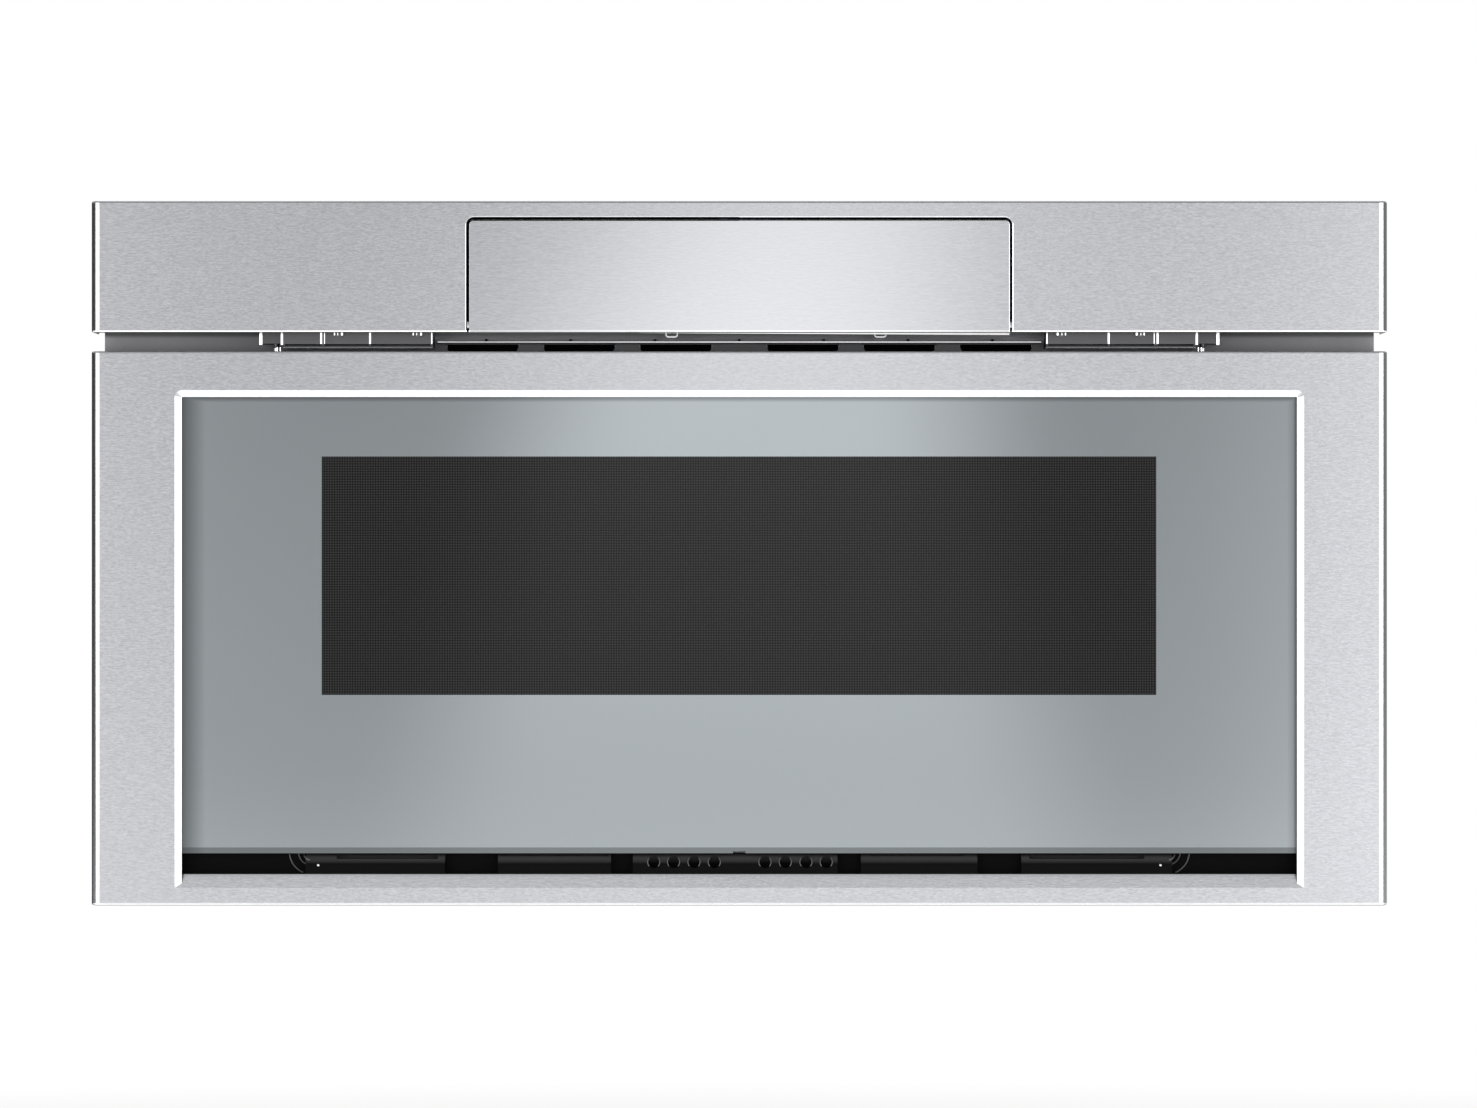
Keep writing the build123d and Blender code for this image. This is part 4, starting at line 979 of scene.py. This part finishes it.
digits = []
for row, along in (("12345", UPPER_ROW), ("67890", LOWER_ROW)):
    for n, digit in enumerate(row):
        digits.append((digit, DIGIT_X + DIGIT_PITCH * n, along, DIGIT_SIZE))
written("deck_digits", digits, print_ink)
written("deck_clock", [("12:00", 0, 0.5, CLOCK_SIZE)], clock_finish())
print("deck:", len(digits), "digits and a clock")

# %% [markdown]
# ## Rings and symbols
# Each key has a printed ring round it, and the keys at the left have plain symbols: start,
# stop, up and down over rows of one to four bars. All of them are flat shapes drawn on
# the deck's own plane and laid on the glass as one mesh.

# %% Deck marks
SYMBOL_X = (-130, -112, -94, -76)
SYMBOL_LIFT = 0.08
RING_RADIUS, RING_WIDTH = 5.6, 0.35


def row_y(along):
    """Where a row is on the deck's own plane, up from its middle."""
    return (along - 0.5) * deck_run.length


def add_ring(bm, x, along):
    """A flat ring round a key, in the deck's own plane."""
    steps = 32
    middle = row_y(along)
    inner, outer = [], []
    for step in range(steps):
        turn = 2 * math.pi * step / steps
        for loop, r in ((inner, RING_RADIUS - RING_WIDTH), (outer, RING_RADIUS)):
            loop.append(bm.verts.new((x + r * math.cos(turn), middle + r * math.sin(turn), 0)))
    for step in range(steps):
        after = (step + 1) % steps
        bm.faces.new((inner[step], outer[step], outer[after], inner[after]))


def add_patch(bm, x, y, points):
    """A flat shape of a few points, given from its own middle."""
    bm.faces.new([bm.verts.new((x + across, y + up, 0)) for across, up in points])


SYMBOLS = [
    [(-2, -2.4), (2.4, 0), (-2, 2.4)],  # start
    [(-2, -2), (2, -2), (2, 2), (-2, 2)],  # stop
    [(-2.4, -1.6), (2.4, -1.6), (0, 2.2)],  # up
    [(-2.4, 1.6), (0, -2.2), (2.4, 1.6)],  # down
]
BAR = [(0, -2), (0.8, -2), (0.8, 2), (0, 2)]
FIRST_BAR, BAR_PITCH = -2.6, 1.4

bm = bmesh.new()
for _, x, along, _ in digits:
    add_ring(bm, x, along)
for x in SYMBOL_X:
    for along in (LOWER_ROW, UPPER_ROW):
        add_ring(bm, x, along)
for n, (x, symbol) in enumerate(zip(SYMBOL_X, SYMBOLS)):
    add_patch(bm, x, row_y(UPPER_ROW), symbol)
    for bar in range(n + 1):
        add_patch(bm, x + FIRST_BAR + BAR_PITCH * bar, row_y(LOWER_ROW), BAR)
bm.transform(deck_matrix(0, 0.5, SYMBOL_LIFT))
marks = piece_from(bm, "deck_marks", print_ink, "control_panel")
print("deck marks:", len(marks.data.polygons), "faces")

# %% [markdown]
# ## Studio
# The photograph's background is pure white. White comes from the world, for the rays
# that reach it from the camera or from a mirror, and from a pale floor that fades into
# it, never from more light on the object. Under the object the floor stays paper, so it
# keeps the shadow.

# %% World and floor
WORLD_GREY = 0.55  # what the world gives to dull surfaces
FLOOR_DROP = 0.35  # the drawer hangs in a cabinet, so the floor lies well below it
FLOOR_HALF = 30.0
FLOOR_FADE = (1.2, 3.2)  # metres from the middle, from paper to white

scene = bpy.context.scene
scene.view_settings.view_transform = "Standard"
world = bpy.data.worlds.new("studio")
world.use_nodes = True
scene.world = world
tree = world.node_tree
path = tree.nodes.new("ShaderNodeLightPath")
seen = path.outputs["Is Camera Ray"]
for kind in ("Is Glossy Ray", "Is Transmission Ray"):
    either = tree.nodes.new("ShaderNodeMath")
    either.operation = "ADD"
    either.use_clamp = True
    tree.links.new(seen, either.inputs[0])
    tree.links.new(path.outputs[kind], either.inputs[1])
    seen = either.outputs[0]
mix = tree.nodes.new("ShaderNodeMix")
mix.data_type = "RGBA"
mix.inputs[6].default_value = grey(WORLD_GREY)
mix.inputs[7].default_value = grey(1.0)
tree.links.new(seen, mix.inputs[0])
background = tree.nodes["Background"]
tree.links.new(mix.outputs[2], background.inputs["Color"])
background.inputs["Strength"].default_value = 1.0


def flat_card(name, x, y, z, finish):
    """A level rectangle between two places along X and two along Y, for the stage."""
    corners = [(x[0], y[0], z), (x[1], y[0], z), (x[1], y[1], z), (x[0], y[1], z)]
    mesh = bpy.data.meshes.new(name)
    mesh.from_pydata(corners, [], [(0, 1, 2, 3)])
    mesh.materials.append(finish)
    card = bpy.data.objects.new(name, mesh)
    scene.collection.objects.link(card)
    return card


def floor_finish():
    """Paper near the object, and white further off and in mirrors."""
    paper = Finish("floor_paper", Base_Color=grey(0.9), Roughness=0.8, Specular_IOR_Level=0.0)
    spot = paper.add("ShaderNodeTexCoord", output="Object")
    away = paper.add("ShaderNodeVectorMath", {"operation": "LENGTH"}, [spot], output="Value")
    straight = paper.add("ShaderNodeLightPath", output="Is Camera Ray")
    mirrored = paper.add("ShaderNodeLightPath", output="Is Glossy Ray")
    share = straight * away.ramp(*FLOOR_FADE) + mirrored
    shader = Wire(paper, paper.shader.outputs[0])
    paper.surface(paper.mix(share, shader, paper.glow(grey(1.0))))
    return paper.material


floor_z = FOOT - FLOOR_DROP
floor_span = (-FLOOR_HALF, FLOOR_HALF)
flat_card("floor", floor_span, floor_span, floor_z, floor_finish())
print("floor at", round(floor_z, 3), "m,", 2 * FLOOR_HALF, "m across")

# %% [markdown]
# ## Cards for the metal to look at
# Polished steel has no colour of its own to show: it shows the studio. A photographer
# stands panels round it, and so does this cell. A wall of them runs round the drawer:
# a soft panel straight ahead gives the steel its pale middle, two bright ones beside the
# camera draw the white lines along the folded edges, and dark ones further round draw the
# thin dark line outside each. A card on the floor lights the edges that face down. They
# are seen by reflections only, so they hide nothing and cast no shadow.

# %% Cards
WALL_RADIUS = 5.0
WALL_HIGH = 4.0
WALL_PANELS = 120
# azimuth in degrees, left of the camera negative, and the brightness there
WALL_STOPS = [
    (-180, 0.50), (-174, 0.06), (-60, 0.06), (-56, 2.1), (-21, 2.1), (-16, 1.25), (-12, 0.90),
    (-8, 0.65), (-5, 0.58), (4, 0.60), (6.5, 0.61), (9, 0.93), (13, 1.4), (17, 2.1), (62, 2.1),
    (66, 0.20), (100, 0.25), (160, 0.40), (180, 0.50),
]
EVEN_GREY, EVEN_FROM = 0.6, (0.9, 1.3)  # the wall over the level that the fronts see
LOW_CARD_X, LOW_CARD_Y = (-2, 2), (-0.74, 0.0)
LOW_CARD_LIFT, LOW_CARD_LIGHT = 0.01, 1.9
CEILING_SPAN, CEILING_LIGHT = (-5, 5), 0.70


def centre_panel(azimuth, z):
    """The soft panel straight ahead: taller than wide, it leans and fades with height."""
    centre = (z - 0.16).most(0.0) * 2.2 + 0.1
    half_width = 3.75 - z * 2.9
    aside = abs((azimuth - 0.5) * 360 - centre)
    panel = ((half_width - aside) / 2.2 + 0.5).clamped()
    shape = (z * 1.74 + 1.19).most(0.42).least(1.6) - z.ramp(0.26, 0.36) * 0.22
    return panel * shape


def wall_finish():
    """Light that changes with azimuth, and is dimmer higher up."""
    wall = Finish("card_wall")
    x, y, z = wall.place()
    azimuth = x.maths("ARCTAN2", x, 0.0 - y) * (0.5 / math.pi) + 0.5  # 0.5 is straight ahead
    peak = max(value for _, value in WALL_STOPS)
    stops = [((angle + 180) / 360, grey(value / peak)) for angle, value in WALL_STOPS]
    light = wall.add("ShaderNodeValToRGB", {"stops": stops}, [azimuth])
    dim = (1.0 - z * 0.2).most(0.8).least(1.12) + (0.0 - z).ramp(0.3, 0.6) * 0.6
    front = wall.glow(light, (dim + centre_panel(azimuth, z)) * peak)
    wall.surface(wall.mix(z.ramp(*EVEN_FROM), front, wall.glow(grey(EVEN_GREY))))
    return wall.material


def wall_mesh():
    """A closed ring of upright panels."""
    corners, faces = [], []
    for i in range(WALL_PANELS):
        turn = 2 * math.pi * i / WALL_PANELS
        x, y = WALL_RADIUS * math.sin(turn), -WALL_RADIUS * math.cos(turn)
        corners += [(x, y, floor_z), (x, y, WALL_HIGH)]
        j = (i + 1) % WALL_PANELS
        faces.append((2 * i, 2 * j, 2 * j + 1, 2 * i + 1))
    mesh = bpy.data.meshes.new("card_wall")
    mesh.from_pydata(corners, [], faces)
    return mesh


def glow_finish(name, value):
    card = Finish(name)
    card.surface(card.glow(grey(value)))
    return card.material


wall = bpy.data.objects.new("card_wall", wall_mesh())
wall.data.materials.append(wall_finish())
scene.collection.objects.link(wall)
low_finish = glow_finish("card_low", LOW_CARD_LIGHT)
low_card = flat_card("card_low", LOW_CARD_X, LOW_CARD_Y, floor_z + LOW_CARD_LIFT, low_finish)
ceiling_finish = glow_finish("card_ceiling", CEILING_LIGHT)
ceiling = flat_card("card_ceiling", CEILING_SPAN, CEILING_SPAN, WALL_HIGH, ceiling_finish)
for card in (wall, low_card, ceiling):
    card.visible_camera = False
    card.visible_diffuse = False
    card.visible_transmission = False
    card.visible_volume_scatter = False
    card.visible_shadow = False
print("wall of cards", WALL_RADIUS, "m out,", len(wall.data.polygons), "panels")

# %% [markdown]
# ## Lamps
# Three large soft boxes light what doesn't mirror: two in front, the right one a little
# stronger as in the photograph, and one above. They are large so that polished and
# galvanised sheets show them as a soft sheen and never clip to white.

# %% Lamps
# name, place, target, size and watts
LAMPS = [
    ("left_box", (-2.6, -2.6, 1.2), (0, 0, 0), (3.0, 2.8), 26),
    ("right_box", (2.6, -2.6, 1.2), (0, 0, 0), (3.0, 2.8), 32),
    ("top_box", (0, 0.4, 2.6), (0, 0.2, 0), (2.4, 2.0), 20),
]
for name, place, target, size, watts in LAMPS:
    data = bpy.data.lights.new(name, "AREA")
    data.shape = "RECTANGLE"
    data.size, data.size_y = size
    data.energy = watts
    lamp = bpy.data.objects.new(name, data)
    lamp.location = place
    aim = Vector(target) - Vector(place)
    lamp.rotation_euler = aim.to_track_quat("-Z", "Y").to_euler()
    scene.collection.objects.link(lamp)
print(len(LAMPS), "lamps,", sum(lamp[-1] for lamp in LAMPS), "W together")

# %% [markdown]
# ## The trim stays inside the solids' reach.
